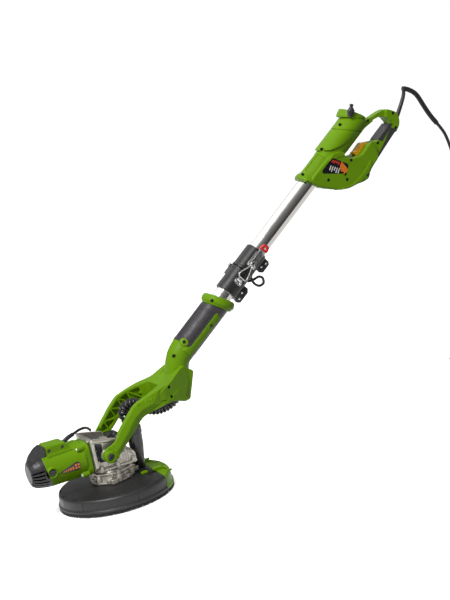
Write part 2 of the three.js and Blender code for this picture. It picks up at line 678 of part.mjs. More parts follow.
const rear = rearHandle();
// A soft pad covers the inner face of the grip and turns down over its sides.
const PAD_TOP = rounded([[424, -65.7], [471, -65.7], [472, -69], [424, -69]], 0.8);
const PAD_SIDE = rounded([[424, -65.7], [471, -65.7], [475, -69.5], [463, -71.5], [428, -75]], 2);
const PAD_ROOM_TOP = rounded([[423.7, -60], [476, -60], [472.6, -69.3], [423.7, -69.3]], 0.8);
const PAD_ROOM_SIDE = rounded([[423.2, -60], [478, -60], [477.5, -69], [463.4, -72.1], [426.4, -76.6]], 1);
both(side => {
  const tag = nameOf(side);
  const room = join(
    sidePlate(PAD_ROOM_TOP, ...span(side, -1, 30)),
    sidePlate(PAD_ROOM_SIDE, ...span(side, 15.2, 30)),
  );
  add(pole, `rear_handle_${tag}`, cut(rear.intersect(halfOf(side)), room), LIME);
  const pad = join(
    sidePlate(PAD_TOP, ...span(side, GAP / 2, 18)),
    sidePlate(PAD_SIDE, ...span(side, 15.5, 18.9), 0.6),
  );
  add(pole, `rear_grip_${tag}`, pad, SOFT);
});

// The collar is a wedge: its open rim slopes down toward the handle.
const RIM_SLOPE = 14;
const LOCK_ROUND = 31;
const overRim = block([0, -50, -70], [60, 50, 70]).rotate([0, RIM_SLOPE, 0]).translate([12, 0, 0]);
add(pole, 'dust_collar', onPort(cut(turned('x', [
  [23, GAP], [32, GAP], [32.5, 5], [30, 14], [26.5, 24], [24, 24], [23, 16],
], [0, 0], 32), overRim)), LIME);
add(pole, 'collar_lock', onPort(join(
  rod('y', 8, -41.5, -33, [9, 0], 24),
  block([2, -41.5, -4], [30, -36, 4]),
).rotate([-LOCK_ROUND, 0, 0])), BLACK);
add(pole, 'trigger', sidePlate(rounded([
  [363, -60], [362.6, -41], [367, -43.5], [393, -44], [403, -51], [407.4, -59], [408, -65], [400, -67], [364, -66],
], 2), -8, 8, 0.8), ORANGE);
add(pole, 'trigger_switch', block([372, -7, -83], [400, 7, -72]), BLACK);
add(pole, 'speed_board', block([308, -20, -75], [334, 20, -60]), BLACK);

// ---- Mains cord ---------------------------------------------------------------------------------

const BOOT_ROUTE = [
  [501.6, 0, -76.6], [510, 0, -73.8], [524, 0, -68.6], [538, 0, -63], [549, 0, -57.6], [559, 0, -50],
];
const SLEEVE_ROUTE = [
  [558.6, 0, -45.5], [564.5, 0, -54], [569, 0, -64], [572.3, 0, -76], [572.2, 0, -88], [569.3, 0, -103],
  [564.5, 0, -127], [561.5, 0, -149], [560.5, 0, -170],
];

// A slim bend relief that ends in the side of a thick, bent rubber sleeve.
function cordBoot() {
  const curve = new THREE.CatmullRomCurve3(BOOT_ROUTE.map(p => new THREE.Vector3(...p)));
  const pieces = 6;
  const tapered = Array.from({ length: pieces }, (_, k) => {
    const radius = 5.2 - 0.9 * k / (pieces - 1);
    const from = curve.getPointAt(k / pieces);
    const to = curve.getPointAt((k + 1) / pieces);
    const ahead = to.clone().sub(from).setLength(k < pieces - 1 ? 1.5 : 0);
    return alongCurve([from.toArray(), to.add(ahead).toArray()], radius, { sides: 10, steps: 1 });
  });
  return join(...tapered, alongCurve(SLEEVE_ROUTE, 5.6, { sides: 10, steps: 16 }));
}

const CORD_ROUTE = [
  [958.6, 0, 591.6], [964.5, 0, 582.4], [973, 0, 566], [981, 0, 535], [986.5, 0, 485], [989.3, 0, 400],
  [990, 0, 290], [990, 0, 180], [990, 0, 100],
  [990, 0, 64], [993, -1, 38], [1001, -3, 19], [1013, -5, 8.5], [1024, -6.5, 5.4],
  [1038, -7.2, 4.95], [1044, -7.4, 4.85],
];
// The coil is three turns wide and four high. A ring stands for its turns.
const COIL_WIDE = 3;
const COIL_HIGH = 4;
const coilHalf = COIL_WIDE * CORD_R + 0.6;
const coilLow = TIE + GAP;
const coilHigh = COIL_HIGH * 2 * CORD_R + 0.4;

add(pole, 'cord_boot', cordBoot(), RUBBER);
add(head, 'mains_cord', alongCurve(CORD_ROUTE, CORD_R, { sides: 8, steps: 34 }), RUBBER);

const coilShape = turned('z', [
  [COIL_R - coilHalf, coilLow], [COIL_R + coilHalf, coilLow],
  [COIL_R + coilHalf, coilLow + coilHigh], [COIL_R - coilHalf, coilLow + coilHigh],
], COIL_AT, 40);
add(head, 'cord_coil', coilShape, RUBBER);

const tieAt = COIL_AT[0] + COIL_R;
const coilTop = coilLow + coilHigh;
add(head, 'cord_tie', cut(
  block(
    [tieAt - coilHalf - 2 - TIE, COIL_AT[1] - TIE_HALF, 0],
    [tieAt + coilHalf + 0.6 + TIE, COIL_AT[1] + TIE_HALF, coilTop + 0.5 + TIE],
  ),
  block(
    [tieAt - coilHalf - 2, COIL_AT[1] - TIE_HALF - 1, TIE],
    [tieAt + coilHalf + 0.6, COIL_AT[1] + TIE_HALF + 1, coilTop + 0.5],
  ),
), BLACK);

const PLUG_X = COIL_AT[0] - 74;   // where the cord enters the plug
const PLUG_Y = COIL_AT[1] + 55;
const PLUG_Z = 11.3;
const TAIL_ROUTE = [
  [COIL_AT[0] - 36, COIL_AT[1] + 53.4, 19.5], [COIL_AT[0] - 46, COIL_AT[1] + 54.2, 16],
  [COIL_AT[0] - 57, PLUG_Y, 13.1], [PLUG_X + 8, PLUG_Y, 11.6], [PLUG_X + 1.5, PLUG_Y, PLUG_Z],
];

function plug() {
  const outline = rounded([[-48, -13], [-22, -18], [-8, -16], [-8, 16], [-22, 18], [-48, 13]], 7);
  const body = flatPlate(outline, -11, 11);
  const relief = rod('x', 5.5, -20, 0, [0, 0], 12);
  const pins = both(side => rod('x', 2.4, -67, -46, [side * 9.5, 0], 10));
  return join(body, relief, ...pins).translate([PLUG_X, PLUG_Y, PLUG_Z]);
}

add(head, 'cord_tail', alongCurve(TAIL_ROUTE, CORD_R, { sides: 8, steps: 4 }), RUBBER);
add(head, 'plug', plug(), RUBBER);

head.updateMatrixWorld(true);

export default object;
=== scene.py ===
"""Looks of a long-reach drywall sander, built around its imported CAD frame.

Shapes are made in millimetres, either in the head frame (origin on the work surface under the disc, +Z up)
or in the pole frame (+X up the pole, origin on the pole axis at the fold), and are then put into the frame.
"""

import json
import math

import bmesh
import bpy
import numpy as np
from mathutils import Matrix, Vector


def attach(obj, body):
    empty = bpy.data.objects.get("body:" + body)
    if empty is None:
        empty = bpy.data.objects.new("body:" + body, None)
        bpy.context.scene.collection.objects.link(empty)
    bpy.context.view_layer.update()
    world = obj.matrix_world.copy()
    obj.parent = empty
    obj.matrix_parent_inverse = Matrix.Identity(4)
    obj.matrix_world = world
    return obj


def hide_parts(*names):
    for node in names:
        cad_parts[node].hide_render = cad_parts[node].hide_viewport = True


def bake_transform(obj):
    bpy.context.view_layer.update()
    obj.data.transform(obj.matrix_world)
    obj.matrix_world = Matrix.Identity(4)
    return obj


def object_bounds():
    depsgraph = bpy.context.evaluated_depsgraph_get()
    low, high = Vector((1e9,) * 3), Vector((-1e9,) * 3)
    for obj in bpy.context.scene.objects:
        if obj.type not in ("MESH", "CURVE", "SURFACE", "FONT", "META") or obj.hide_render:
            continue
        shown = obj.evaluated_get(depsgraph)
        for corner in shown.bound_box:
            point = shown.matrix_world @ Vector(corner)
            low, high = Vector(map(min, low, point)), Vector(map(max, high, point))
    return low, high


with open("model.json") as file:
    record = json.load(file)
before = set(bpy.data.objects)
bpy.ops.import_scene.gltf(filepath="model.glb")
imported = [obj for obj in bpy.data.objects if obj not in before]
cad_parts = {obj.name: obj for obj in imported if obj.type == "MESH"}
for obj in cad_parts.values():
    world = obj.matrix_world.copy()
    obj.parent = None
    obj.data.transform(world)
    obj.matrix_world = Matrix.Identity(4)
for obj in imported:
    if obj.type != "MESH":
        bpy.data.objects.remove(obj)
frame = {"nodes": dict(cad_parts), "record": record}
cad_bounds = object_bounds()
nodes = frame["nodes"]

# Driving dimensions of the frame, in millimetres
MM = 0.001
POLE_TILT = math.radians(36)
POLE_AT = Vector((405, 0, 400))
GRIP_ON_POLE = Vector((440, 0, -76))
TURN = Matrix.Rotation(-POLE_TILT, 4, "Y")
GRIP_AT = POLE_AT + TURN @ GRIP_ON_POLE
HEAD = Matrix.Scale(MM, 4) @ Matrix.Translation(-GRIP_AT)
POLE = HEAD @ Matrix.Translation(POLE_AT) @ TURN
MIRROR = Matrix.Scale(-1, 4, (0, 1, 0))

TUBE_R = 20
SEGMENT_X = 83
PIVOT = (-16, 107)
MOTOR_Z = 107
CORD_R = 3.75
COIL_R = 44
COIL_AT = (1080, 45)


# ---- Mesh helpers -------------------------------------------------------------------------------

def shape(points, faces):
    mesh = bpy.data.meshes.new("shape")
    mesh.from_pydata([tuple(float(c) for c in p) for p in points], [], faces)
    made = bpy.data.objects.new("shape", mesh)
    bpy.context.scene.collection.objects.link(made)
    bm = bmesh.new()
    bm.from_mesh(mesh)
    bmesh.ops.recalc_face_normals(bm, faces=bm.faces)
    bm.to_mesh(mesh)
    bm.free()
    return made


def drop(made):
    mesh = made.data
    bpy.data.objects.remove(made)
    bpy.data.meshes.remove(mesh)


def modified(made, kind, **settings):
    """Adds one modifier, applies it, and returns the same object."""
    modifier = made.modifiers.new(kind, kind)
    for key, value in settings.items():
        setattr(modifier, key, value)
    graph = bpy.context.evaluated_depsgraph_get()
    mesh = bpy.data.meshes.new_from_object(made.evaluated_get(graph))
    made.modifiers.clear()
    old = made.data
    made.data = mesh
    bpy.data.meshes.remove(old)
    return made


def boolean(whole, operation, others):
    for other in others:
        modified(whole, "BOOLEAN", operation=operation, object=other, solver="MANIFOLD")
        drop(other)
    return whole


def cut(whole, *others):
    return boolean(whole, "DIFFERENCE", others)


def join(whole, *others):
    return boolean(whole, "UNION", others)


def meet(whole, *others):
    return boolean(whole, "INTERSECT", others)


def moved(made, matrix):
    made.data.transform(matrix)
    if matrix.determinant() < 0:
        made.data.flip_normals()
    return made


def on_side(made, side):
    """A shape made on the far side (+1), mirrored for the near side (-1)."""
    return moved(made, MIRROR) if side < 0 else made


def span(side, low, high):
    """Two distances from the middle plane as Y values on one side, the lower one first."""
    return (-high, -low) if side < 0 else (low, high)


def block(low, high):
    (a, b, c), (d, e, f) = low, high
    points = [(a, b, c), (d, b, c), (d, e, c), (a, e, c), (a, b, f), (d, b, f), (d, e, f), (a, e, f)]
    faces = [(0, 3, 2, 1), (4, 5, 6, 7), (0, 1, 5, 4), (1, 2, 6, 5), (2, 3, 7, 6), (3, 0, 4, 7)]
    return shape(points, faces)


AXES = {
    "x": Matrix(((0, 0, 1, 0), (1, 0, 0, 0), (0, 1, 0, 0), (0, 0, 0, 1))),
    "y": Matrix(((1, 0, 0, 0), (0, 0, 1, 0), (0, -1, 0, 0), (0, 0, 0, 1))),
    "z": Matrix.Identity(4),
}


def about(made, axis, at):
    """Stands a shape made along Z along another axis; at gives the two other coordinates."""
    places = {"x": (0, at[0], at[1]), "y": (at[0], 0, at[1]), "z": (at[0], at[1], 0)}
    return moved(made, Matrix.Translation(places[axis]) @ AXES[axis])


def turned(axis, profile, at=(0, 0), sides=96):
    """A turned solid. Its profile of radius and height starts and ends on the axis, or closes on itself."""
    on_axis = profile[0][0] == 0
    points, rows = [], []
    for radius, height in profile:
        if radius == 0:
            rows.append([len(points)])
            points.append((0, 0, height))
            continue
        rows.append(list(range(len(points), len(points) + sides)))
        angles = np.arange(sides) * 2 * math.pi / sides
        points.extend((radius * math.cos(a), radius * math.sin(a), height) for a in angles)
    faces = []
    pairs = list(zip(rows, rows[1:])) if on_axis else list(zip(rows, rows[1:] + rows[:1]))
    for low, high in pairs:
        for k in range(sides):
            n = (k + 1) % sides
            if len(low) == 1:
                faces.append((low[0], high[n], high[k]))
            elif len(high) == 1:
                faces.append((low[k], low[n], high[0]))
            else:
                faces.append((low[k], low[n], high[n], high[k]))
    return about(shape(points, faces), axis, at)


def rod(axis, radius, low, high, at=(0, 0), sides=64, edge=0.0, end_radius=None):
    """A round bar, with its edges rounded over by edge."""
    top = radius if end_radius is None else end_radius
    if not edge:
        return turned(axis, [(0, low), (radius, low), (top, high), (0, high)], at, sides)
    bend = edge * (1 - math.sqrt(0.5))
    return turned(axis, [
        (0, low), (radius - edge, low), (radius - bend, low + bend), (radius, low + edge),
        (top, high - edge), (top - bend, high - bend), (top - edge, high), (0, high),
    ], at, sides)


def ring(axis, inner, outer, low, high, at=(0, 0), sides=96, edge=0.4):
    return turned(axis, [
        (inner + edge, low), (outer - edge, low), (outer, low + edge), (outer, high - edge),
        (outer - edge, high), (inner + edge, high), (inner, high - edge), (inner, low + edge),
    ], at, sides)


def rounded(corners, radius, steps=6):
    """An outline with rounded corners. A corner is x, y and an optional radius of its own."""
    outline, count = [], len(corners)
    for i, corner in enumerate(corners):
        own = corner[2] if len(corner) > 2 else radius
        here = np.array(corner[:2], float)
        ends = []
        for other in (corners[i - 1], corners[(i + 1) % count]):
            way = np.array(other[:2], float) - here
            length = np.linalg.norm(way)
            ends.append(here + way * min(own, length / 2.05) / length)
        for t in np.linspace(0, 1, steps + 1):
            outline.append(tuple((1 - t) ** 2 * ends[0] + 2 * t * (1 - t) * here + t * t * ends[1]))
    return outline


PLANES = {
    "y": lambda p, h: (p[0], h, p[1]),
    "z": lambda p, h: (p[0], p[1], h),
    "x": lambda p, h: (h, p[0], p[1]),
}


def plate(axis, outline, low, high):
    """An outline carried along an axis, from low to high."""
    count = len(outline)
    put = PLANES[axis]
    points = [put(p, low) for p in outline] + [put(p, high) for p in outline]
    faces = [tuple(range(count)), tuple(range(count, 2 * count))]
    faces += [(k, (k + 1) % count, count + (k + 1) % count, count + k) for k in range(count)]
    return shape(points, faces)


def bevelled(made, width, segments=2, angle=32):
    return modified(made, "BEVEL", width=width, segments=segments, limit_method="ANGLE",
                    angle_limit=math.radians(angle), use_clamp_overlap=True, harden_normals=False)


def moulded(made, voxel, rounds, keep):
    """Softens every edge, as on a moulded or cast part: an even remesh, a smooth and a thinning."""
    modified(made, "REMESH", mode="VOXEL", voxel_size=voxel, use_smooth_shade=True)
    modified(made, "SMOOTH", factor=0.5, iterations=rounds)
    return modified(made, "DECIMATE", ratio=keep)


def between(t, low, high, first, second):
    return ((high - t) * first + (t - low) * second) / (high - low)


def smooth_line(points, step):
    """Evenly spaced points on a centripetal Catmull-Rom curve through points."""
    p = np.array(points, float)
    p = np.vstack([2 * p[0] - p[1], p, 2 * p[-1] - p[-2]])
    fine = []
    for i in range(1, len(p) - 2):
        knots = [0.0]
        for a, b in ((i - 1, i), (i, i + 1), (i + 1, i + 2)):
            knots.append(knots[-1] + max(np.linalg.norm(p[b] - p[a]), 1e-9) ** 0.5)
        for t in np.linspace(knots[1], knots[2], 24, endpoint=False):
            level = [p[i - 1], p[i], p[i + 1], p[i + 2]]
            for depth in (1, 2):
                level = [between(t, knots[k], knots[k + depth], level[k],
                                 level[k + 1]) for k in range(4 - depth)]
            fine.append(between(t, knots[1], knots[2], level[0], level[1]))
    fine.append(p[-2])
    fine = np.array(fine)
    along = np.concatenate([[0], np.cumsum(np.linalg.norm(np.diff(fine, axis=0), axis=1))])
    count = max(2, int(round(along[-1] / step)) + 1)
    even = np.linspace(0, along[-1], count)
    return np.stack([np.interp(even, along, fine[:, k]) for k in range(3)], 1)


def swept(line, radius, sides=24):
    """A round solid along a line of points. The radius is one number or one for each point."""
    line = np.array(line, float)
    radii = np.broadcast_to(np.array(radius, float), (len(line),))
    way = np.gradient(line, axis=0)
    way /= np.linalg.norm(way, axis=1)[:, None]
    start = np.array([0, 0, 1.0]) if abs(way[0][2]) < 0.9 else np.array([1.0, 0, 0])
    side = np.cross(way[0], start)
    side /= np.linalg.norm(side)
    points, faces = [], []
    angles = np.arange(sides) * 2 * math.pi / sides
    for i, middle in enumerate(line):
        side = side - way[i] * np.dot(side, way[i])
        side /= np.linalg.norm(side)
        other = np.cross(way[i], side)
        around = middle + radii[i] * (np.cos(angles)[:, None] * side + np.sin(angles)[:, None] * other)
        points.extend(around)
    for i in range(len(line) - 1):
        a, b = i * sides, (i + 1) * sides
        faces += [(a + k, a + (k + 1) % sides, b + (k + 1) % sides, b + k) for k in range(sides)]
    last = (len(line) - 1) * sides
    faces += [tuple(range(sides)), tuple(range(last, last + sides))]
    return shape(points, faces)


def merged(*parts):
    """Several loose shapes as one object, without a boolean."""
    first = parts[0]
    bm = bmesh.new()
    for part in parts:
        bm.from_mesh(part.data)
    bm.to_mesh(first.data)
    bm.free()
    for part in parts[1:]:
        drop(part)
    return first


def finished(made, name, place, look, body, replaces=(), angle=35):
    """Puts a shape into the frame as a named piece of a body, with its material."""
    moved(made, place)
    made.name = name
    made.data.name = name
    made.data.materials.clear()
    made.data.materials.append(look[0])
    for polygon in made.data.polygons:
        polygon.use_smooth = True
    bm = bmesh.new()
    bm.from_mesh(made.data)
    limit = math.radians(angle)
    for edge in bm.edges:
        if len(edge.link_faces) == 2:
            edge.smooth = edge.calc_face_angle(0) < limit
    bm.to_mesh(made.data)
    bm.free()
    if body:
        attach(made, body)
    if replaces:
        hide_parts(*replaces)
    return made


# ---- Materials ----------------------------------------------------------------------------------

class Nodes:
    """A material under construction: a Principled shader with procedural colour, roughness and bump."""

    def __init__(self, name):
        self.material = bpy.data.materials.new(name)
        self.material.use_nodes = True
        self.tree = self.material.node_tree
        self.shader = self.tree.nodes["Principled BSDF"]
        self.place = self.add("ShaderNodeTexCoord").outputs["Object"]

    def add(self, kind, **settings):
        node = self.tree.nodes.new(kind)
        for key, value in settings.items():
            setattr(node, key, value)
        return node

    def link(self, a, b):
        self.tree.links.new(a, b)

    def noise(self, scale, detail=3.0, rough=0.55, stretch=None):
        node = self.add("ShaderNodeTexNoise")
        node.inputs["Scale"].default_value = scale
        node.inputs["Detail"].default_value = detail
        node.inputs["Roughness"].default_value = rough
        self.link(self.stretched(stretch), node.inputs["Vector"])
        return node.outputs["Fac"]

    def cells(self, scale, stretch=None):
        node = self.add("ShaderNodeTexVoronoi")
        node.inputs["Scale"].default_value = scale
        self.link(self.stretched(stretch), node.inputs["Vector"])
        return node.outputs["Distance"]

    def stretched(self, stretch):
        if stretch is None:
            return self.place
        angle, factors = stretch
        node = self.add("ShaderNodeMapping", vector_type="TEXTURE")
        node.inputs["Rotation"].default_value = (0, angle, 0)
        node.inputs["Scale"].default_value = factors
        self.link(self.place, node.inputs["Vector"])
        return node.outputs["Vector"]

    def mapped(self, value, low, high, from_low=0.3, from_high=0.7):
        node = self.add("ShaderNodeMapRange")
        for key, number in (("From Min", from_low), ("From Max", from_high), ("To Min", low),
                            ("To Max", high)):
            node.inputs[key].default_value = number
        self.link(value, node.inputs["Value"])
        return node.outputs["Result"]

    def mixed(self, value, first, second):
        node = self.add("ShaderNodeMix", data_type="RGBA")
        self.link(value, node.inputs["Factor"])
        for key, colour in (("A", first), ("B", second)):
            socket = [s for s in node.inputs if s.name == key and s.type == "RGBA"][0]
            if isinstance(colour, tuple):
                socket.default_value = (*colour, 1)
            else:
                self.link(colour, socket)
        return [s for s in node.outputs if s.type == "RGBA"][0]

    def colour(self, socket):
        self.link(socket, self.shader.inputs["Base Color"])

    def roughness(self, socket):
        self.link(socket, self.shader.inputs["Roughness"])

    def bump(self, *layers):
        """Layers are (height, depth in metres)."""
        last = None
        for height, depth in layers:
            node = self.add("ShaderNodeBump")
            node.inputs["Distance"].default_value = depth
            node.inputs["Strength"].default_value = 1.0
            self.link(height, node.inputs["Height"])
            if last is not None:
                self.link(last, node.inputs["Normal"])
            last = node.outputs["Normal"]
        self.link(last, self.shader.inputs["Normal"])

    def plain(self, **values):
        for key, value in values.items():
            self.shader.inputs[key.replace("_", " ")].default_value = value
        return self.material


def shade(colour, factor):
    return tuple(c * factor for c in colour)


def edges(m, dark, bright):
    """How pointed the surface is, as a mask: worn convex edges at its high end, and painted shade in the
    hollows at its low end.
    """
    point = m.add("ShaderNodeNewGeometry").outputs["Pointiness"]
    return m.mapped(point, dark, bright, 0.44, 0.56)


def plastic(name, colour, rough, grain=0.00003, shine=0.5):
    m = Nodes(name)
    cloud = m.noise(14, 4)
    tone = m.mixed(m.mapped(cloud, 0, 1), shade(colour, 0.93), shade(colour, 1.07))
    m.colour(m.mixed(edges(m, 0, 0.35), tone, shade(colour, 1.35)))
    handled = m.noise(45, 5, 0.6)
    m.roughness(m.mapped(handled, rough - 0.06, rough + 0.08))
    m.bump((m.noise(1700, 2), grain), (m.noise(90, 2), grain * 1.5))
    return m.plain(Specular_IOR_Level=shine, IOR=1.49)


def grained(name, colour, rough, scale=900, depth=0.00007):
    m = Nodes(name)
    cloud = m.noise(20, 5)
    tone = m.mixed(m.mapped(cloud, 0, 1), shade(colour, 0.86), shade(colour, 1.18))
    m.colour(m.mixed(edges(m, 0, 0.5), tone, shade(colour, 2.2)))
    m.roughness(m.mapped(m.noise(60, 4), rough - 0.07, rough + 0.08))
    m.bump((m.cells(scale), depth), (m.noise(scale * 0.35, 3), depth))
    return m.plain(Specular_IOR_Level=0.45)


def soft_rubber(name, colour, rough=0.62):
    m = Nodes(name)
    tone = m.mixed(m.mapped(m.noise(30, 5), 0, 1), shade(colour, 0.85), shade(colour, 1.15))
    m.colour(m.mixed(edges(m, 0, 0.4), tone, shade(colour, 1.8)))
    m.roughness(m.mapped(m.noise(80, 3), rough - 0.08, rough + 0.1))
    m.bump((m.cells(1500), 0.00006), (m.noise(400, 3), 0.00004))
    return m.plain(Sheen_Weight=0.12, Sheen_Roughness=0.5, Specular_IOR_Level=0.4)


def cast_metal(name, colour, rough=0.42):
    m = Nodes(name)
    cloud = m.noise(60, 6, 0.6)
    tone = m.mixed(m.mapped(cloud, 0, 1), shade(colour, 0.72), shade(colour, 1.15))
    # Painted shade: the hollows are darkened to half the colour, from the pointiness mask.
    m.colour(m.mixed(edges(m, 0.0, 1.0), shade(colour, 0.5), tone))
    m.roughness(m.mapped(m.noise(140, 5), rough - 0.1, rough + 0.16))
    m.bump((m.noise(900, 4, 0.65), 0.00008), (m.noise(150, 4), 0.00005))
    return m.plain(Metallic=0.85)


def drawn_metal(name, colour, rough, angle):
    """Polished metal with faint lines that run at an angle about Y."""
    m = Nodes(name)
    lines = m.noise(1.0, 5, 0.7, (angle, (0.25, 0.002, 0.002)))
    m.colour(m.mixed(m.mapped(lines, 0, 1), shade(colour, 0.9), shade(colour, 1.04)))
    m.roughness(m.mapped(m.noise(30, 4), rough - 0.03, rough + 0.06))
    m.bump((lines, 0.000006))
    return m.plain(Metallic=1.0)


def plated_metal(name, colour, rough=0.3):
    m = Nodes(name)
    m.colour(m.mixed(m.mapped(m.noise(200, 5), 0, 1), shade(colour, 0.78), shade(colour, 1.1)))
    m.roughness(m.mapped(m.noise(350, 4), rough - 0.08, rough + 0.14))
    m.bump((m.noise(1100, 3), 0.00002))
    return m.plain(Metallic=1.0)


def fibres(name, colour):
    m = Nodes(name)
    m.colour(m.mixed(m.mapped(m.noise(700, 3), 0, 1), shade(colour, 0.6), shade(colour, 1.7)))
    m.roughness(m.mapped(m.noise(300, 2), 0.6, 0.85))
    m.bump((m.noise(900, 2), 0.00005))
    return m.plain(Specular_IOR_Level=0.3, Sheen_Weight=0.1)


def abrasive(name, colour):
    m = Nodes(name)
    grit = m.cells(1400)
    m.colour(m.mixed(m.mapped(grit, 0, 1, 0.1, 0.6), shade(colour, 1.7), shade(colour, 0.55)))
    m.roughness(m.mapped(m.noise(900, 2), 0.8, 0.98))
    m.bump((grit, 0.00025), (m.noise(2600, 2), 0.0001))
    return m.plain(Specular_IOR_Level=0.3)


def wound_copper(name):
    m = Nodes(name)
    wire = m.add("ShaderNodeTexWave", wave_type="BANDS", bands_direction="X")
    wire.inputs["Scale"].default_value = 900
    m.link(m.place, wire.inputs["Vector"])
    m.colour(m.mixed(wire.outputs["Fac"], (0.30, 0.10, 0.03), (0.62, 0.26, 0.09)))
    m.roughness(m.mapped(m.noise(300, 3), 0.28, 0.5))
    m.bump((wire.outputs["Fac"], 0.0001))
    return m.plain(Metallic=0.9)


def printed(name, colour):
    m = Nodes(name)
    m.colour(m.mixed(m.mapped(m.noise(600, 3), 0, 1), shade(colour, 0.9), shade(colour, 1.06)))
    m.roughness(m.mapped(m.noise(120, 3), 0.25, 0.4))
    m.bump((m.noise(1500, 2), 0.00001))
    return m.plain(Specular_IOR_Level=0.5)


LIME_COLOUR = (0.118, 0.25, 0.0004)
LIME = (plastic("lime_moulding", LIME_COLOUR, 0.4, shine=0.13), "lime_plastic")
SHROUD = (grained("shroud_grain", (0.0125, 0.0125, 0.0128), 0.42), "dark_plastic")
SOFT = (soft_rubber("soft_grip_rubber", (0.021, 0.018, 0.022), 0.46), "soft_grip")
BLACK = (grained("black_moulding", (0.0075, 0.0075, 0.0085), 0.38, 1300, 0.00004), "black_plastic")
COATED = (grained("powder_coat", (0.0085, 0.0085, 0.009), 0.36, 1100, 0.00006), "black_plastic")
BARREL = (grained("painted_drum", (0.02, 0.023, 0.030), 0.34, 1500, 0.00003), "black_plastic")
GLOSS = (plastic("gloss_black", (0.006, 0.006, 0.0075), 0.22, 0.00001), "black_plastic")
ALLOY = (cast_metal("cast_alloy", (0.53, 0.50, 0.44)), "cast_aluminium")
TUBE = (drawn_metal("polished_tube", (0.87, 0.87, 0.865), 0.13, -POLE_TILT), "tube_aluminium")
STEEL = (plated_metal("zinc_plate", (0.62, 0.62, 0.62)), "steel")
DARK_STEEL = (plated_metal("black_screw", (0.05, 0.05, 0.055), 0.35), "steel")
COPPER = (wound_copper("copper_windings"), "copper_windings")
ORANGE = (plastic("orange_moulding", (0.9, 0.4, 0.006), 0.38, shine=0.2), "orange_plastic")
RED = (plastic("red_moulding", (0.62, 0.018, 0.016), 0.35), "red_plastic")
BRISTLE = (fibres("black_bristle", (0.012, 0.012, 0.012)), "bristle")
GRIT = (abrasive("brown_grit", (0.24, 0.13, 0.055)), "grit")
CORD = (soft_rubber("cord_sheath", (0.0085, 0.0085, 0.0095), 0.46), "rubber")
BOOT = (soft_rubber("boot_rubber", (0.02, 0.018, 0.023), 0.34), "rubber")
RUBBER_BLACK = (soft_rubber("sleeve_rubber", (0.004, 0.004, 0.0045), 0.6), "rubber")
HOSE = (plastic("hose_gloss", (0.007, 0.0065, 0.0085), 0.2, 0.00001), "rubber")
PRINT_BLACK = (printed("label_black", (0.006, 0.006, 0.007)), "black_plastic")
PRINT_ORANGE = (printed("label_orange", (0.80, 0.20, 0.01)), "orange_plastic")
PRINT_RED = (printed("label_red", (0.62, 0.035, 0.02)), "red_plastic")
PRINT_WHITE = (printed("label_white", (0.70, 0.70, 0.68)), "steel")

LOOK_OF_SLOT = {
    "lime_plastic": LIME, "dark_plastic": SHROUD, "soft_grip": SOFT, "black_plastic": BLACK,
    "cast_aluminium": ALLOY, "tube_aluminium": TUBE, "steel": STEEL, "copper_windings": COPPER,
    "orange_plastic": ORANGE, "red_plastic": RED, "bristle": BRISTLE, "grit": GRIT, "rubber": CORD,
}
for row in frame["record"]["subparts"]:
    data = nodes[row["node"]].data
    data.materials.clear()
    data.materials.append(LOOK_OF_SLOT[row["material_slot"]][0])


# ---- Mains cord: hangs from the handle, lies on the floor and ends in a tied coil with its plug -----

# The route of the cord solid, set up to 9 mm further back where it hangs
CORD_ROUTE = [
    (957.6, 0, 593.4), (964.5, 0, 582.4), (973, 0, 566), (981, 0, 535), (987.5, 0, 485), (992, 0, 400),
    (996, 0, 290), (999, 0, 180), (997, 0, 100), (996, 0, 64), (998, -1, 38), (1003, -3, 19),
    (1013, -5, 8.5), (1024, -6.5, 5.4), (1038, -7.2, 4.95), (1058, -7.1, 4.85),
]
COIL_WIDE = 3
COIL_HIGH = 4
PITCH = 2 * CORD_R * 1.02
COIL_LOW = 1.1 + CORD_R
STEP_PART = (0.6, 0.4)      # where in a turn the cord moves to the next column: start and length
RISE_PART = (0.3, 0.28)     # where it climbs to the next layer


def ease(value):
    value = min(max(value, 0.0), 1.0)
    return value * value * (3 - 2 * value)


def coil_point(turn):
    """The cord after so many turns: columns run inward and outward by turns, one layer on the next."""
    last = COIL_WIDE * COIL_HIGH - 1
    whole = min(int(turn), last)
    part = turn - int(turn) if int(turn) <= last else 0
    layer, step = divmod(whole, COIL_WIDE)
    if step < COIL_WIDE - 1:
        step += ease((part - STEP_PART[0]) / STEP_PART[1])
    elif whole < last:
        layer += ease((part - RISE_PART[0]) / RISE_PART[1])
    column = COIL_WIDE - 1 - step if (whole // COIL_WIDE) % 2 else step
    radius = COIL_R + (1 - column) * PITCH
    angle = 2 * math.pi * turn - math.pi / 2
    return (COIL_AT[0] + radius * math.cos(angle), COIL_AT[1] + radius * math.sin(angle),
            COIL_LOW + layer * PITCH)


PLUG_AT = (1006, 100, 11.3)
COIL_TURNS = COIL_WIDE * COIL_HIGH + 0.5
STEPS_PER_TURN = 48
coil = [coil_point(k / STEPS_PER_TURN) for k in range(int(COIL_TURNS * STEPS_PER_TURN) + 1)]
TAIL_ROUTE = [coil[-1], (1073, 96.7, 27.4), (1064, 97.1, 25.8), (1054, 97.8, 23), (1043, 98.7, 19.2),
              (1031, 99.4, 15.2), (1020, 99.9, 12.5), (1011, 100, 11.45), (1006.5, 100, 11.3)]
cord_line = np.vstack([smooth_line([*CORD_ROUTE, coil[0]], 4)[:-1], coil[:-1], smooth_line(TAIL_ROUTE, 4)])


cord = finished(swept(cord_line, CORD_R, 16), "mains_cord_sheath", HEAD, CORD, "handle",
                ("mains_cord", "cord_coil", "cord_tail"), 60)


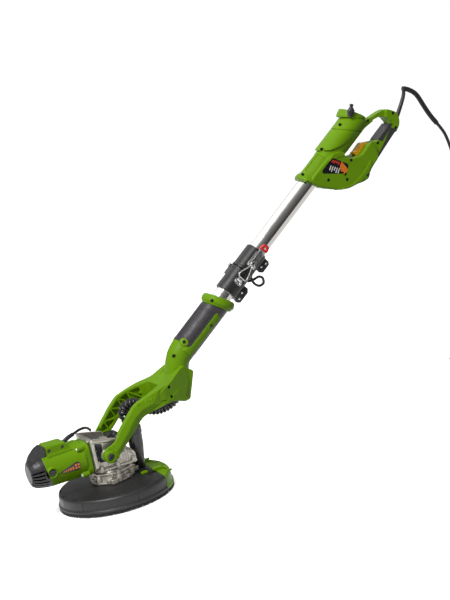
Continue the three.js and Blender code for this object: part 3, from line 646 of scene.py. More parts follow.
def plug_body():
    """A flat two-pin plug with a waisted grip, ribbed sides and a segmented bend relief."""
    x, y, z = PLUG_AT
    side = rounded([(-48, -13), (-22, -18), (-8, -15), (-8, 15), (-22, 18), (-48, 13)], 7)
    body = bevelled(plate("z", side, -11, 11), 3, 4)
    ribs = [block((-40 + 5 * k, side_y - 1.2, -7), (-38 + 5 * k, side_y + 1.2, 7))
            for k in range(5) for side_y in (-17, 17)]
    cut(body, *ribs)
    relief = [rod("x", 6.2 - 0.25 * k, -9.5 + 2.4 * k, -7.9 + 2.4 * k, (0, 0), 32, 0.5) for k in range(4)]
    join(body, rod("x", 4.7, -12, -0.3, (0, 0), 32), *relief)
    return moved(body, Matrix.Translation((x, y, z)))


def plug_pins():
    x, y, z = PLUG_AT
    pins = [rod("x", 2.4, -67, -46, (y_off, 0), 24, 1.2) for y_off in (-9.5, 9.5)]
    return moved(merged(*pins), Matrix.Translation((x, y, z)))


plug = finished(plug_body(), "plug_body", HEAD, CORD, "handle", ("plug",))
pins = finished(plug_pins(), "plug_pins", HEAD, STEEL, "handle")


def band(outline, inset, width):
    """A strap of one thickness that runs round an outline in the XZ plane; width is along Y."""
    outer = np.array(outline)
    middle = outer.mean(0)
    inner = middle + (outer - middle) * (1 - inset)
    count = len(outer)
    points = [(p[0], y, p[1]) for y in (-width / 2, width / 2) for p in (*outer, *inner)]
    faces = []
    for k in range(count):
        n = (k + 1) % count
        near, far = 0, 2 * count
        faces.append((near + k, near + n, far + n, far + k))
        faces.append((near + count + n, near + count + k, far + count + k, far + count + n))
        faces.append((near + n, near + k, near + count + k, near + count + n))
        faces.append((far + k, far + n, far + count + n, far + count + k))
    return shape(points, faces)


def coil_tie():
    half = COIL_WIDE * PITCH / 2 + 1.3
    top = COIL_LOW + (COIL_HIGH - 1) * PITCH + CORD_R + 1.2
    loop = rounded([(-half - 1, 0.1), (half + 1, 0.1), (half + 1, top), (-half - 1, top)], 5, 8)
    strap = band(loop, 0.055, 18)
    tab = plate("z", rounded([(-9, -9), (10, -9), (10, 9), (-9, 9)], 4), top - 0.1, top + 0.9)
    return moved(merged(strap, tab), Matrix.Translation((COIL_AT[0] + COIL_R, COIL_AT[1], 0)))


tie = finished(coil_tie(), "coil_strap", HEAD, SOFT, "handle", ("cord_tie",))


# ---- Small shared pieces ------------------------------------------------------------------------

def facing(made, at, way):
    """Stands a shape made along Z at a point, so that it points along way."""
    return moved(made, Matrix.Translation(Vector(at)) @ Vector(way).to_track_quat("Z",
                                                                                  "X").to_matrix().to_4x4())


def screw(at, way, radius, depth):
    """A pan head screw with a cross recess, its head standing depth above at and facing along way."""
    head = turned("z", [(0, -1), (radius, -1), (radius, depth * 0.3), (radius * 0.86, depth * 0.75),
                        (radius * 0.5, depth * 0.96), (0, depth)], (0, 0), 28)
    arm = radius * 0.55
    slim = radius * 0.13
    cut(head, block((-arm, -slim, depth * 0.35), (arm, slim, depth + 1)),
        block((-slim, -arm, depth * 0.35), (slim, arm, depth + 1)))
    return facing(head, at, way)


def screws(name, place, body, spots, radius=3.4, look=DARK_STEEL, depth=1.6):
    made = merged(*(screw(at, way, radius, depth) for at, way in spots))
    return finished(made, name, place, look, body)


# ---- Shroud, edge segment, brush and disc -------------------------------------------------------

DUCT_AT = (66, 0)
SHROUD_PROFILE = [
    (31, 39.5), (31, 42), (31.8, 42.7), (34, 42.9), (60, 41.4), (90, 39), (112, 36.9), (116, 36.4),
    (116.8, 36.9), (117.8, 37), (118.8, 36.6), (120.6, 35), (121.8, 32.8), (122.4, 30), (123, 20),
    (123.4, 15.4),
    (124, 14), (125.2, 13.3), (126, 12.4), (126, 9), (125.5, 8.4), (121, 8.4), (120.4, 9), (119, 32),
    (60, 38),
]
RIM_SLOTS = (-158, -122, -94, -62, -34, 34, 62, 94, 122, 158, 180)
TONGUE_Y = 40


def slice_of_head(x_low, x_high):
    return block((x_low, -160, -20), (x_high, 160, 90))


def rim_slot(angle, radius=116.6, long=13):
    """A dark slot that follows the rim."""
    slot = block((radius - 1.3, -long / 2, 33.5), (radius + 1.3, long / 2, 40))
    return moved(slot, Matrix.Rotation(math.radians(angle), 4, "Z"))


def skirt_seam(angle):
    seam = block((121.6, -0.5, 14.5), (126, 0.5, 33))
    return moved(seam, Matrix.Rotation(math.radians(angle), 4, "Z"))


def shroud():
    cover = meet(turned("z", SHROUD_PROFILE, (0, 0), 180), slice_of_head(-160, SEGMENT_X))
    cut(cover, rod("z", 10.7, 25, 60, DUCT_AT))
    cut(cover, *(rim_slot(angle) for angle in RIM_SLOTS))
    cut(cover, *(skirt_seam(angle) for angle in (-146, -88, -52, 52, 88, 146)))
    for side in (-1, 1):
        y = side * TONGUE_Y
        bridge = plate("y", rounded([(63, 38.4), (74.5, 37.6), (74.5, 49.2), (64.5, 49.6)], 2.4), y - 8.4,
                       y + 8.4)
        cut(bridge, plate("x", rounded([(y - 5.8, 30), (y + 5.8, 30), (y + 5.8, 46.3), (y - 5.8, 46.3)],
                                       1.6), 55, 85))
        join(cover, bevelled(bridge, 0.7, 2))
        groove = block((48, y - 6.2, 40.3), (SEGMENT_X + 1, y + 6.2, 44))
        cut(cover, groove)
    return bevelled(cover, 0.35, 1)


def duct_collar():
    """The low raised seat that the dust duct stands in."""
    return turned("z", [(10.9, 41), (16.5, 40.2), (16, 43), (14.6, 44.3), (12.4, 44.6), (10.9, 44)],
                  DUCT_AT, 64)


def edge_segment():
    profile = [(r, z + 0.7) if z > 34 and r < 119 else (r + (0.5 if r > 119 else 0), z) for r,
               z in SHROUD_PROFILE]
    profile = [(min(r, 126.3), z) for r, z in profile]
    cover = meet(turned("z", profile, (0, 0), 180), slice_of_head(SEGMENT_X + 0.4, 160))
    for side in (-1, 1):
        y = side * TONGUE_Y
        tongue = plate("z", rounded([(50, y - 5, 5), (97, y - 5, 1), (97, y + 5, 1), (50, y + 5, 5)], 2),
                       41.3, 45.6)
        cut(tongue, plate("z", rounded([(54.5, y - 2.2), (60, y - 2.2), (60, y + 2.2), (54.5, y + 2.2)], 2),
                          43.8, 50))
        join(cover, bevelled(tongue, 0.6, 2))
        for offset in (-3.4, 3.4):
            rail = plate("y", rounded([(76, 42), (86, 38), (106, 36), (106, 39), (98, 44.8), (78, 46.2)],
                                      1.4),
                         y + offset - 1.4, y + offset + 1.4)
            join(cover, bevelled(rail, 0.4, 2))
        pocket = plate("z", rounded([(100, y - 12), (108, y - 12), (108, y - 4), (100, y - 4)], 2), 36.2, 50)
        cut(cover, pocket)
    join(cover, *(bevelled(block((84, y - 1.1, 35), (112, y + 1.1, 38.9)), 0.3, 1) for y in (-62, -16, 16,
                                                                                             62)))
    cut(cover, *(rim_slot(angle, 115.5, 9) for angle in (-24, -8, 8, 24)))
    return bevelled(cover, 0.4, 2)


def tufts(low, high, seed, inside):
    """Bristles in slightly uneven rows between two radii, kept where inside(x) holds."""
    rng = np.random.default_rng(seed)
    points, faces = [], []
    for row, radius in enumerate((121.9, 123.1, 124.3, 125.2)):
        count = int(2 * math.pi * radius / 2.1)
        for k in range(count):
            angle = 2 * math.pi * (k + 0.5 * (row % 2) + rng.uniform(-0.25, 0.25)) / count
            x, y = radius * math.cos(angle), radius * math.sin(angle)
            if not inside(x):
                continue
            foot = low + rng.uniform(0, 1.6)
            lean = rng.uniform(-1.0, 1.0, 2)
            lean -= np.array((x, y)) / radius * max(np.dot(lean, (x, y)) / radius - 0.2, 0)
            base = len(points)
            for z, grow, (dx, dy) in ((high, 0.95, (0, 0)), (foot, 0.5, lean)):
                for corner in range(5):
                    c = corner * 2 * math.pi / 5
                    points.append((x + dx + grow * math.cos(c), y + dy + grow * math.sin(c), z))
            faces += [(base + c, base + (c + 1) % 5, base + 5 + (c + 1) % 5, base + 5 + c) for c in range(5)]
            faces += [tuple(base + c for c in range(5)), tuple(base + 5 + c for c in range(5))]
    return shape(points, faces)


def brush(seed, inside, x_low, x_high):
    strip = turned("z", [(121.4, 5.2), (125.4, 5.2), (125.4, 8.2), (121.4, 8.2)], (0, 0), 160)
    return merged(meet(strip, slice_of_head(x_low, x_high)), tufts(0.05, 6, seed, inside))


HOLE_R = 5
HOLE_CIRCLE = 78
HOLE_ANGLES = [k * math.pi / 4 for k in range(8)]


def dust_holes(low, high):
    spots = [(HOLE_CIRCLE * math.cos(a), HOLE_CIRCLE * math.sin(a)) for a in HOLE_ANGLES]
    return [rod("z", HOLE_R, low, high, spot, 32) for spot in spots]


def backing_pad():
    pad = turned("z", [(0, 8.3), (110.8, 8.3), (112, 9.2), (112.5, 12), (111.6, 17.5), (109, 19.2), (42, 21),
                       (40, 21.6), (26, 25.6), (24, 26), (0, 26)], (0, 0), 128)
    return cut(pad, *dust_holes(0, 40))


def abrasive_disc():
    disc = turned("z", [(0, 4), (112.1, 4), (112.5, 4.5), (112.5, 7.4), (112.1, 7.9), (0, 7.9)], (0, 0), 128)
    return cut(disc, *dust_holes(0, 40))


finished(shroud(), "shroud_shell", HEAD, SHROUD, "head", ("shroud",))
finished(duct_collar(), "duct_seat", HEAD, SHROUD, "head")
finished(edge_segment(), "edge_segment_shell", HEAD, LIME, "segment", ("edge_segment",))
finished(brush(1, lambda x: x < SEGMENT_X - 1, -160, SEGMENT_X), "brush_bristles", HEAD, BRISTLE, "head",
         ("brush_ring",))
finished(brush(2, lambda x: x > SEGMENT_X + 1.4, SEGMENT_X + 0.4, 160), "segment_bristles", HEAD, BRISTLE,
         "segment", ("segment_brush",))
finished(backing_pad(), "pad_moulding", HEAD, BLACK, "disc", ("backing_pad",))
finished(abrasive_disc(), "abrasive_sheet", HEAD, GRIT, "disc", ("abrasive_disc",))


# ---- Gearbox ------------------------------------------------------------------------------------

def ring_spot(radius, degrees):
    return radius * math.cos(math.radians(degrees)), radius * math.sin(math.radians(degrees))


COVER_SCREWS = [(x, s * y) for s in (-1, 1) for x, y in ((-30, 32), (6, 34), (44, 30))]
COVER_SEAT = 82
HOUSING_SCREWS_R = 43
HOUSING_SEAT = 66.4


def gear_housing():
    """Lower casting: a stepped bowl with a bolt flange, lugs of different heights and short webs."""
    body = turned("z", [(0, 36), (30, 36), (30.5, 42.9), (47, 42.9), (47, 47), (42, 48.5), (41, 60),
                        (43, 61.5), (43, 65.5), (39, 66.5), (38, 69.6), (0, 69.6)], (0, 0), 96)
    for k in range(6):
        x, y = ring_spot(HOUSING_SCREWS_R, 30 + 60 * k)
        join(body, rod("z", 6.4, 43, 60, (x, y), 40, 0.8), rod("z", 4.6, 58, HOUSING_SEAT, (x, y), 32, 0.6))
    for k in range(6):
        x, y = ring_spot(43.5, 60 * k)
        join(body, rod("z", 5.0, 43, 52.5, (x, y), 32, 1.0))
        web = block((30, -1.4, 46), (46.5, 1.4, 62))
        join(body, moved(web, Matrix.Rotation(math.radians(60 * k + 12), 4, "Z")))
    for degrees in (-75, -45, -15, 15, 45, 75, 105, 165, 195, 255):
        pocket = block((38.5, -4.2, 50), (50, 4.2, 58.5))
        cut(body, moved(pocket, Matrix.Rotation(math.radians(degrees), 4, "Z")))
    lug = plate("z", rounded([(38, -15), (58, -15, 7), (58, -2, 7), (38, -2)], 1), 44.5, 54)
    lug_far = plate("z", rounded([(38, 3), (57, 3, 7), (57, 15, 7), (38, 15)], 1), 44.5, 52)
    foot = plate("z", rounded([(-22, -52, 6), (-4, -52, 6), (-4, -36, 1), (-22, -36, 1)], 1), 43.2, 53)
    join(body, lug, lug_far, foot)
    return moulded(body, 0.75, 2, 0.5)


def gearbox_cover():
    side = rounded([(-36.5, 70), (51, 70), (51, 90), (43, 102.5), (17, 110), (15, 127), (-10, 131),
                    (-36.5, 128)], 4)
    body = plate("y", side, -31, 31)
    for s in (-1, 1):
        corner = [(s * 20, 134), (s * 33, 134), (s * 33, 116)]
        cut(body, plate("x", corner, -60, 18))
        front = [(s * 20, 112), (s * 34, 112), (s * 34, 92)]
        cut(body, plate("x", front, 12, 60))
        panel = plate("y", rounded([(-31, 78), (8, 78), (8, 120), (-14, 125), (-31, 122)], 4),
                      *span(s, 29.2, 40))
        cut(body, panel)
        rib = plate("y", rounded([(8, 72), (47, 72), (47, 88), (38, 99), (14, 106), (8, 104)], 3),
                    *span(s, 29.6, 40))
        cut(body, rib)
        join(body, plate("y", rounded([(18, 70), (21, 70), (21, 106), (18, 107)], 0.5), *span(s, 29, 31)),
             plate("y", rounded([(30, 70), (33, 70), (33, 102), (30, 103)], 0.5), *span(s, 29, 31)))
    join(body, plate("z", rounded([(-36.5, -34), (53, -34), (53, 34), (-36.5, 34)], 9), 69.9, 75.5))
    for spot in COVER_SCREWS:
        join(body, rod("z", 5.2, 69.9, COVER_SEAT, spot, 40, 0.8))
    join(body, rod("z", 16, 100, 134.2, (-8, 0), 64, 2), rod("x", 30, -47, -30, (0, MOTOR_Z), 96))
    join(body, rod("x", 7.5, 40, 55.5, (0, 86), 48, 1))
    return moulded(body, 0.75, 2, 0.5)


finished(gear_housing(), "lower_casting", HEAD, ALLOY, "head", ("gear_housing",), 50)
finished(gearbox_cover(), "gearbox_casting", HEAD, ALLOY, "head", ("gearbox_cover",), 50)
screws("gearbox_screws", HEAD, "head",
       [((*spot, COVER_SEAT), (0, 0, 1)) for spot in COVER_SCREWS], 3.3, STEEL, 2.6)
screws("housing_screws", HEAD, "head",
       [((*ring_spot(HOUSING_SCREWS_R, 30 + 60 * k), HOUSING_SEAT), (0, 0, 1)) for k in (0, 1, 4, 5)],
       3.0, STEEL, 2.4)


# ---- Motor --------------------------------------------------------------------------------------

AT_MOTOR = (0, MOTOR_Z)
BRUSH_AT = (-138.5, MOTOR_Z)
FLANGE_SEAT = -74
FLANGE_Y = (-29, 29)
FLANGE_Z = (78.5, 135.5)
BOX_SCREWS = (-130, -99)
BOX_SCREW_Z = 148
BARREL_FACE = 38.35     # how far from the motor's axis its labels lie


def motor_housing():
    barrel = turned("x", [(34, -149.6), (37.5, -149.6), (37.5, -140), (38, -100), (38.6, -72), (39.6, -60),
                          (34, -60)],
                    AT_MOTOR, 128)
    flange = plate("x", rounded([(-36, 71), (36, 71), (36, 143), (-36, 143)], 20, 12), -60.5, -47.6)
    join(barrel, bevelled(flange, 1.2, 3))
    for z in FLANGE_Z:
        for y in FLANGE_Y:
            join(barrel, rod("x", 6.8, FLANGE_SEAT, -58, (y, z), 40, 1.2))
    for s in (-1, 1):
        lobe = turned("y", [(0, 30), (12.6, 30), (12.2, 38), (11, 41.4), (10.4, 41.6), (8.8, 41.6),
                            (8.4, 39.5), (0, 39.5)],
                      BRUSH_AT, 64)
        on_side(lobe, s)
        tail = plate("y", rounded([(-140, 96), (-118, 103), (-118, 111), (-140, 118)], 4), *span(s, 30, 38.6))
        join(barrel, tail, lobe)
    join(barrel, plate("y", rounded([(-118, 70), (-62, 68), (-62, 76), (-118, 76)], 2), -6, 6))
    cut(barrel, rod("x", 33.6, -160, -64, AT_MOTOR, 96), rod("x", 24, -70, -40, AT_MOTOR, 64))
    slant = plate("y", [(-170, 60), (-136, 60), (-146, 100), (-149.6, 118), (-149.6, 160), (-170, 160)],
                  -60, 60)
    cut(barrel, slant)
    for s in (-1, 1):
        cut(barrel, rod("y", 8.2, *span(s, 20, 44), BRUSH_AT, 48))
    return moulded(barrel, 0.8, 2, 0.45)


def motor_end_cap():
    """The ribbed rear cap: a rounded cone with deep slots round its lower half and a dark hump on top."""
    shell = turned("x", [(0, -138), (37.2, -138), (37.0, -143), (34.6, -158), (31.4, -170), (27, -177),
                         (21, -179.6), (0, -180)], AT_MOTOR, 128)
    cut(shell, plate("y", [(-134, 60), (-100, 60), (-100, 170), (-138.2, 170), (-138.2, 118)], -60, 60))
    for s in (-1, 1):
        for k in range(7):
            angle = math.radians(s * (18 + 14 * k))
            reach = -152.5 if k > 3 else -147
            slot = plate("z", rounded([(-190, -1.7), (reach, -1.7), (reach, 1.7), (-190, 1.7)], 1.6), -60,
                         -20)
            cut(shell, moved(slot, Matrix.Translation((0, 0, MOTOR_Z)) @ Matrix.Rotation(angle, 4, "X")))
        cut(shell, rod("y", 13, *span(s, 20, 44), BRUSH_AT, 64))
        shelf = plate("x", [(s * 18, 150), (s * 44, 150), (s * 44, 124), (s * 31, 130)], -182, -150)
        cut(shell, shelf)
    hump = plate("y", rounded([(-160, 118), (-138.2, 122), (-138.2, 160.5), (-152, 155), (-167, 142),
                               (-176, 126)], 3),
                 -19.6, 19.6)
    join(shell, hump)
    return moulded(shell, 0.8, 2, 0.45)


def cable_box():
    side = rounded([(-136.8, 134), (-86, 134), (-82, 140), (-92, 157.5), (-97, 158.8), (-136.8, 161.4)], 3)
    body = plate("y", side, -21, 21)
    for s in (-1, 1):
        cut(body, plate("x", [(s * 15, 165), (s * 24, 165), (s * 24, 152)], -160, -70))
    skirt = plate("y", rounded([(-136.8, 128), (-78, 128), (-74, 134), (-84, 141), (-136.8, 141)], 3), -25,
                  25)
    join(body, skirt)
    cut(body, rod("x", 36.6, -170, -60, AT_MOTOR, 96))
    for x in BOX_SCREWS:
        for s in (-1, 1):
            cut(body, rod("y", 3.9, *span(s, 18.2, 30), (x, BOX_SCREW_Z), 32))
    return moulded(body, 0.75, 2, 0.5)


def brush_cap(side):
    cap = rod("y", 7.5, *span(side, 30, 40.2), BRUSH_AT, 56, 0.8)
    slot = block((BRUSH_AT[0] - 6, -44, MOTOR_Z - 1), (BRUSH_AT[0] + 6, -38.6, MOTOR_Z + 1))
    return cut(cap, on_side(slot, -side))


finished(motor_housing(), "motor_barrel", HEAD, LIME, "head", ("motor_housing",), 50)
finished(motor_end_cap(), "motor_rear_cap", HEAD, BLACK, "head", ("motor_end_cap",), 50)
finished(cable_box(), "cable_box_shell", HEAD, LIME, "head", ("cable_box",), 50)
for side, cad_name in ((-1, "brush_cap_near"), (1, "brush_cap_far")):
    finished(brush_cap(side), cad_name + "_slotted", HEAD, BLACK, "head", (cad_name,))
screws("cable_box_screws", HEAD, "head",
       [((x, s * 18.3, BOX_SCREW_Z), (0, s, 0)) for x in BOX_SCREWS for s in (-1, 1)], 3.1, DARK_STEEL, 1.2)
screws("flange_screws", HEAD, "head",
       [((FLANGE_SEAT, y, z), (-1, 0, 0)) for y in FLANGE_Y for z in FLANGE_Z], 3.8, STEEL, 2.4)

LEAD_ROUTE = [(-88, 0, 153), (-76, 0, 158.5), (-62, 1, 162.5), (-48, 6, 165), (-34, 15, 163), (-22, 26, 157),
              (-14, 35, 148.5)]
lead_line = smooth_line(LEAD_ROUTE, 2)
lead = finished(swept(lead_line, 3.0, 20), "motor_lead_sheath", HEAD, GLOSS, None, ("motor_lead",), 60)
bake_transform(lead)


def strain_relief():
    line = smooth_line([(-95, 0, 149.5), (-88, 0, 153), (-76, 0, 158.5), (-64, 0.8, 162)], 0.5)
    along = np.linspace(0, 1, len(line))
    ribs = np.where((along * 11) % 1 < 0.62, 5.6, 4.4) - 1.1 * along
    return swept(line, ribs, 28)


finished(strain_relief(), "lead_strain_relief", HEAD, BLACK, "head")


def sticker(outline, lift, thick, radius):
    """A thin label wrapped on the near side of the motor barrel; its outline is in X and Z."""
    made = plate("y", outline, 0, thick)
    modified(made, "REMESH", mode="SHARP", octree_depth=6, use_smooth_shade=False)
    for vertex in made.data.vertices:
        rise = vertex.co.z - MOTOR_Z
        out = radius + lift + (thick - vertex.co.y)
        vertex.co.y = -math.sqrt(max(out * out - rise * rise, 1))
    return made


def motor_label():
    """A dark wedge with a row of warm bars: a plain ornament without any lettering."""
    wedge = rounded([(-121, 100.2), (-116, 98.2), (-82, 94.6), (-76.4, 97), (-75.4, 109), (-79.6, 113.2),
                     (-86, 113), (-118, 103.4)], 1.6)
    finished(sticker(wedge, 0.1, 0.3, BARREL_FACE), "motor_label", HEAD, PRINT_BLACK, "head")
    bars = []
    for k in range(5):
        x = -115.5 + 5.2 * k
        low, high = 99.8 - 0.2 * k, 101.2 + 1.0 * k
        bars.append(sticker([(x, low), (x + 3.4, low - 0.2), (x + 3.4, high + 0.8), (x, high)], 0.45, 0.2,
                            BARREL_FACE))
    for x in (-88, -81.8):
        for z in (98.4, 105):
            bars.append(sticker([(x, z), (x + 4.2, z), (x + 4.2, z + 4), (x, z + 4)], 0.45, 0.2, BARREL_FACE))
    finished(merged(*bars), "motor_label_bars", HEAD, PRINT_ORANGE, "head")


motor_label()


# ---- Gimbal, pivot bolts and dust duct ----------------------------------------------------------

CHEEK_IN = 38.5
CHEEK_OUT = 44.5
BOLT_R = 5
FORK_HALF = 65
ARM_IN = 47.5


def gimbal_casting():
    """An upright plate behind the motor flange with two windowed cheeks that reach to the fork pivots."""
    outline = rounded([(-44.5, 85, 3), (-24, 71.8, 6), (24, 71.8, 6), (44.5, 85, 3), (44.5, 148, 20),
                       (-44.5, 148, 20)], 5)
    body = plate("x", outline, -46, -38.7)
    for s in (-1, 1):
        cheek = plate("y", rounded([(-46, 85), (-38.5, 85), (-38.5, 139), (-22, 134), (-24, 107), (-8, 107),
                                    (0, 122), (14, 125), (12, 137), (-37, 148.8), (-46, 148.8)], 3),
                      *span(s, CHEEK_IN, CHEEK_OUT))
        rail = plate("y", rounded([(-44, 142.5), (10, 131), (12, 135.5), (-44, 147.5)], 1.5),
                     *span(s, 41, 46.2))
        join(body, cheek, rail, rod("y", 13, *span(s, CHEEK_IN, 47), PIVOT, 64, 0.8))
    join(body, plate("x", rounded([(-30, 141), (30, 141), (30, 146.5), (-30, 146.5)], 2), -48.6, -45))
    cut(body, rod("x", 30.4, -60, -30, AT_MOTOR, 96))
    moulded(body, 0.75, 2, 0.5)
    return cut(body, *(rod("y", BOLT_R + 0.3, *span(s, 30, 60), PIVOT, 48) for s in (-1, 1)))


def pivot_bolt(side):
    """A cap screw: its head sits deep in the fork boss and shows a hexagon socket."""
    shank = rod("y", BOLT_R, *span(side, CHEEK_IN, 62), PIVOT, 48, 0.4)
    join(shank, rod("y", 7.6, *span(side, 59.5, 66.4), PIVOT, 48, 0.7))
    flats = [(PIVOT[0] + 4.1 * math.cos(a), PIVOT[1] + 4.1 * math.sin(a)) for a in np.arange(6) * math.pi / 3]
    return cut(shank, plate("y", flats, *span(side, 62.5, 72)))


def dust_duct():
    line = smooth_line([(66.3, 0, 42.6), (66.6, 0, 60), (67.6, 0, 84), (69, 0, 108), (70.4, 0, 132.6)], 2)
    along = np.linspace(0, 1, len(line))
    outside = 11.4 + 4.4 * np.clip(along * 1.7, 0, 1) ** 1.4
    return moulded(swept(line, outside, 64), 0.9, 1, 0.5)


def duct_clip():
    """A clip block with one screw on the gearbox, which holds the duct and the lead."""
    base = plate("y", rounded([(6, 126), (36, 106), (40, 118), (33, 137), (14, 141), (5, 136)], 4), -11, 13)
    join(base, rod("y", 9, -14, 15, (25, 131), 48, 2))
    return moulded(base, 0.8, 2, 0.5)


def inner_barrel():
    """The dark drum behind the gimbal window."""
    return turned("x", [(29, -37.6), (33, -37.6), (33.6, -37), (33.6, -33), (32.8, -32.4), (32.8, -29),
                        (33.6, -28.4), (33.6, -14), (32.6, -12.8), (29, -12.8)], AT_MOTOR, 96)


finished(inner_barrel(), "inner_barrel", HEAD, BARREL, "head")
finished(gimbal_casting(), "gimbal_casting", HEAD, ALLOY, "gimbal", ("gimbal_frame",), 50)
for side, tag in ((-1, "near"), (1, "far")):
    finished(pivot_bolt(side), "pivot_screw_" + tag, HEAD, DARK_STEEL, "lower", ("pivot_bolt_" + tag,))
finished(dust_duct(), "duct_moulding", HEAD, GLOSS, "head", ("dust_duct",), 50)
finished(duct_clip(), "duct_clip", HEAD, BLACK, "head")
screws("duct_clip_screw", HEAD, "head", [((25, -14, 131), (0, -1, 0))], 3.4, STEEL, 1.6)

HOSE_ROUTE = [
    (71, 0, 134.5), (66, 0, 148), (59, 0, 160), (57, 0, 173), (66, 0, 183), (82, 0, 184), (99, 0, 175),
    (115, 0, 163), (134, 0, 156.5), (154, 0, 157), (172, 0, 163), (184, 0, 174), (192, 0, 185),
]
FOLD_PITCH = 7.4


def corrugated_hose():
    line = smooth_line(HOSE_ROUTE, 0.7)
    along = np.arange(len(line)) * 0.7
    wave = 0.5 - 0.5 * np.cos(2 * math.pi * along / FOLD_PITCH)
    return swept(line, 10.2 + 3.2 * wave ** 0.55, 40)


hose = finished(corrugated_hose(), "corrugated_hose", HEAD, HOSE, None, ("dust_hose",), 75)
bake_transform(hose)
finished(ring("z", 13, 16.6, 121, 137.5, (70.2, 0), 72, 1.2), "hose_cuff", HEAD, BLACK, "head")


# ---- Fork and lower handle ----------------------------------------------------------------------

# The fork's outlines are in the head frame, as X and Z from the side and X and Y from above,
# and so is the neck's route. TO_POLE moves them to the pole frame, where the collar and the grip are drawn.
TO_POLE = (Matrix.Translation(POLE_AT) @ TURN).inverted()
FORK_SIDE = rounded([
    (-31, 107, 14), (-20, 92, 12), (-2, 96, 12), (18, 114, 6), (40, 132, 6), (58, 148, 8), (75, 165, 10),
    (98, 170, 8), (130, 174, 8), (160, 174, 8), (186, 163, 6), (201, 163, 5), (212, 190, 8), (224, 222, 8),
    (196, 236, 8), (168, 221, 10), (140, 215, 10), (114, 210, 10), (88, 204, 10), (64, 196, 10),
    (42, 176, 8), (20, 153, 6), (0, 131, 8), (-24, 124, 14),
], 6)
FORK_PLAN_OUT = rounded([
    (-60, -FORK_HALF), (108, -FORK_HALF, 12), (172, -44, 40), (206, -30, 20), (300, -30, 1),
    (300, 30, 1), (206, 30, 20), (172, 44, 40), (108, FORK_HALF, 12), (-60, FORK_HALF),
], 1, 8)
FORK_PLAN_IN = rounded([
    (-80, -ARM_IN), (98, -ARM_IN, 20), (137, -28, 8), (137, 28, 8), (98, ARM_IN, 20), (-80, ARM_IN),
], 1, 8)
ARM_END_IN = 56
ARM_RIDGE = [(-16, 107), (0, 113), (31, 142), (56, 170), (76, 183), (104, 189), (130, 193)]
NECK_ROUTE = [(195, 0, 212), (199, 0, 236), (208, 0, 254), (221, 0, 266.3), (233.5, 0, 275.4)]
GRIP_FROM = -222
SOFT_TO = -124
GRIP_R = 29
LEAN = math.radians(19)
STRIP_SCREW = (-153, -9)
BOSS_AT = (-218, 17)
COLLAR_SCREW = (-110, 24)
GRIP_SCREWS = [(STRIP_SCREW, 27.2), (BOSS_AT, 21.5), (COLLAR_SCREW, 23)]    # each with the depth of its seat
NECK_SCREW = (191, 261)
NECK_SEAT = 14
BODY_SCREWS = [(150, 209), (151, 187)]
BODY_SEAT = 46.5
COLLAR_PLACE = Matrix.Translation((-99, 0, 0)) @ Matrix.Rotation(-LEAN, 4, "Y")
SEAM_HALF = 0.15


def arm_facets(side):
    """Shaves the outer face of an arm into two long facets that meet on a ridge."""
    tools = []
    for (x0, z0), (x1, z1) in zip(ARM_RIDGE[1:-1], ARM_RIDGE[2:]):
        way = np.array((x1 - x0, z1 - z0), float)
        length = np.linalg.norm(way)
        way /= length
        up = np.array((-way[1], way[0]))
        for sense, drop_by in ((1, 7), (-1, 9)):
            corners = []
            for along in (-2.2, length + 2.2):
                foot = np.array((x0, z0)) + way * along
                far = foot + sense * up * 26
                y_ridge = side * (FORK_HALF + 0.3)
                y_far = side * (FORK_HALF - drop_by)
                y_out = side * (FORK_HALF + 12)
                corners += [(foot[0], y_ridge, foot[1]), (foot[0], y_out, foot[1]),
                            (far[0], y_out, far[1]), (far[0], y_far, far[1])]
            faces = [(0, 1, 2, 3), (4, 5, 6, 7), (0, 1, 5, 4), (1, 2, 6, 5), (2, 3, 7, 6), (3, 0, 4, 7)]
            tools.append(shape(corners, faces))
    return tools


# The triangles between the diagonal ribs of an arm, in X and Z
TRUSS = [
    ((14, 117), (4, 128), (32, 132)), ((5, 129), (24, 152), (32, 133)), ((33, 133), (25, 152), (54, 151)),
    ((26, 154), (45, 174), (54, 153)), ((55, 152), (46, 175), (72, 168)), ((47, 176), (66, 191), (73, 170)),
    ((74, 169), (67, 191), (96, 174)), ((69, 192), (90, 200), (97, 175)), ((98, 175), (91, 200), (122, 178)),
    ((93, 201), (118, 206), (123, 180)),
]


def truss_pockets(side):
    """Triangular pockets in the inner face of an arm, which leave diagonal ribs."""
    tools = []
    for corners in TRUSS:
        middle = np.mean(corners, axis=0)
        inset = [tuple(middle + (np.array(c) - middle) * 0.84) for c in corners]
        depth = 57.5 if middle[0] < 90 else 49
        tools.append(plate("y", rounded(inset, 1.6), *span(side, 20, depth)))
    return tools


def guard_collar():
    """The thick rounded collar that leans back over the grip, with a groove along its lower rim."""
    body = turned("x", [(0, -11), (30, -11), (32.6, -10), (34, -7.6), (34.2, -6.2), (36.6, -4.6),
                        (37.4, -1), (37.2, 4), (35.6, 8.6), (33, 10.8), (29, 11.4), (0, 11.4)], (0, 0), 96)
    return moved(body, COLLAR_PLACE)


def neck(grow=0.0):
    """The bent neck that carries the fork under the grip."""
    line = smooth_line(NECK_ROUTE, 2.5)
    along = np.linspace(0, 1, len(line))
    return swept(line, 25.6 + grow + 3.4 * np.clip(along - 0.45, 0, 1) / 0.55, 72)


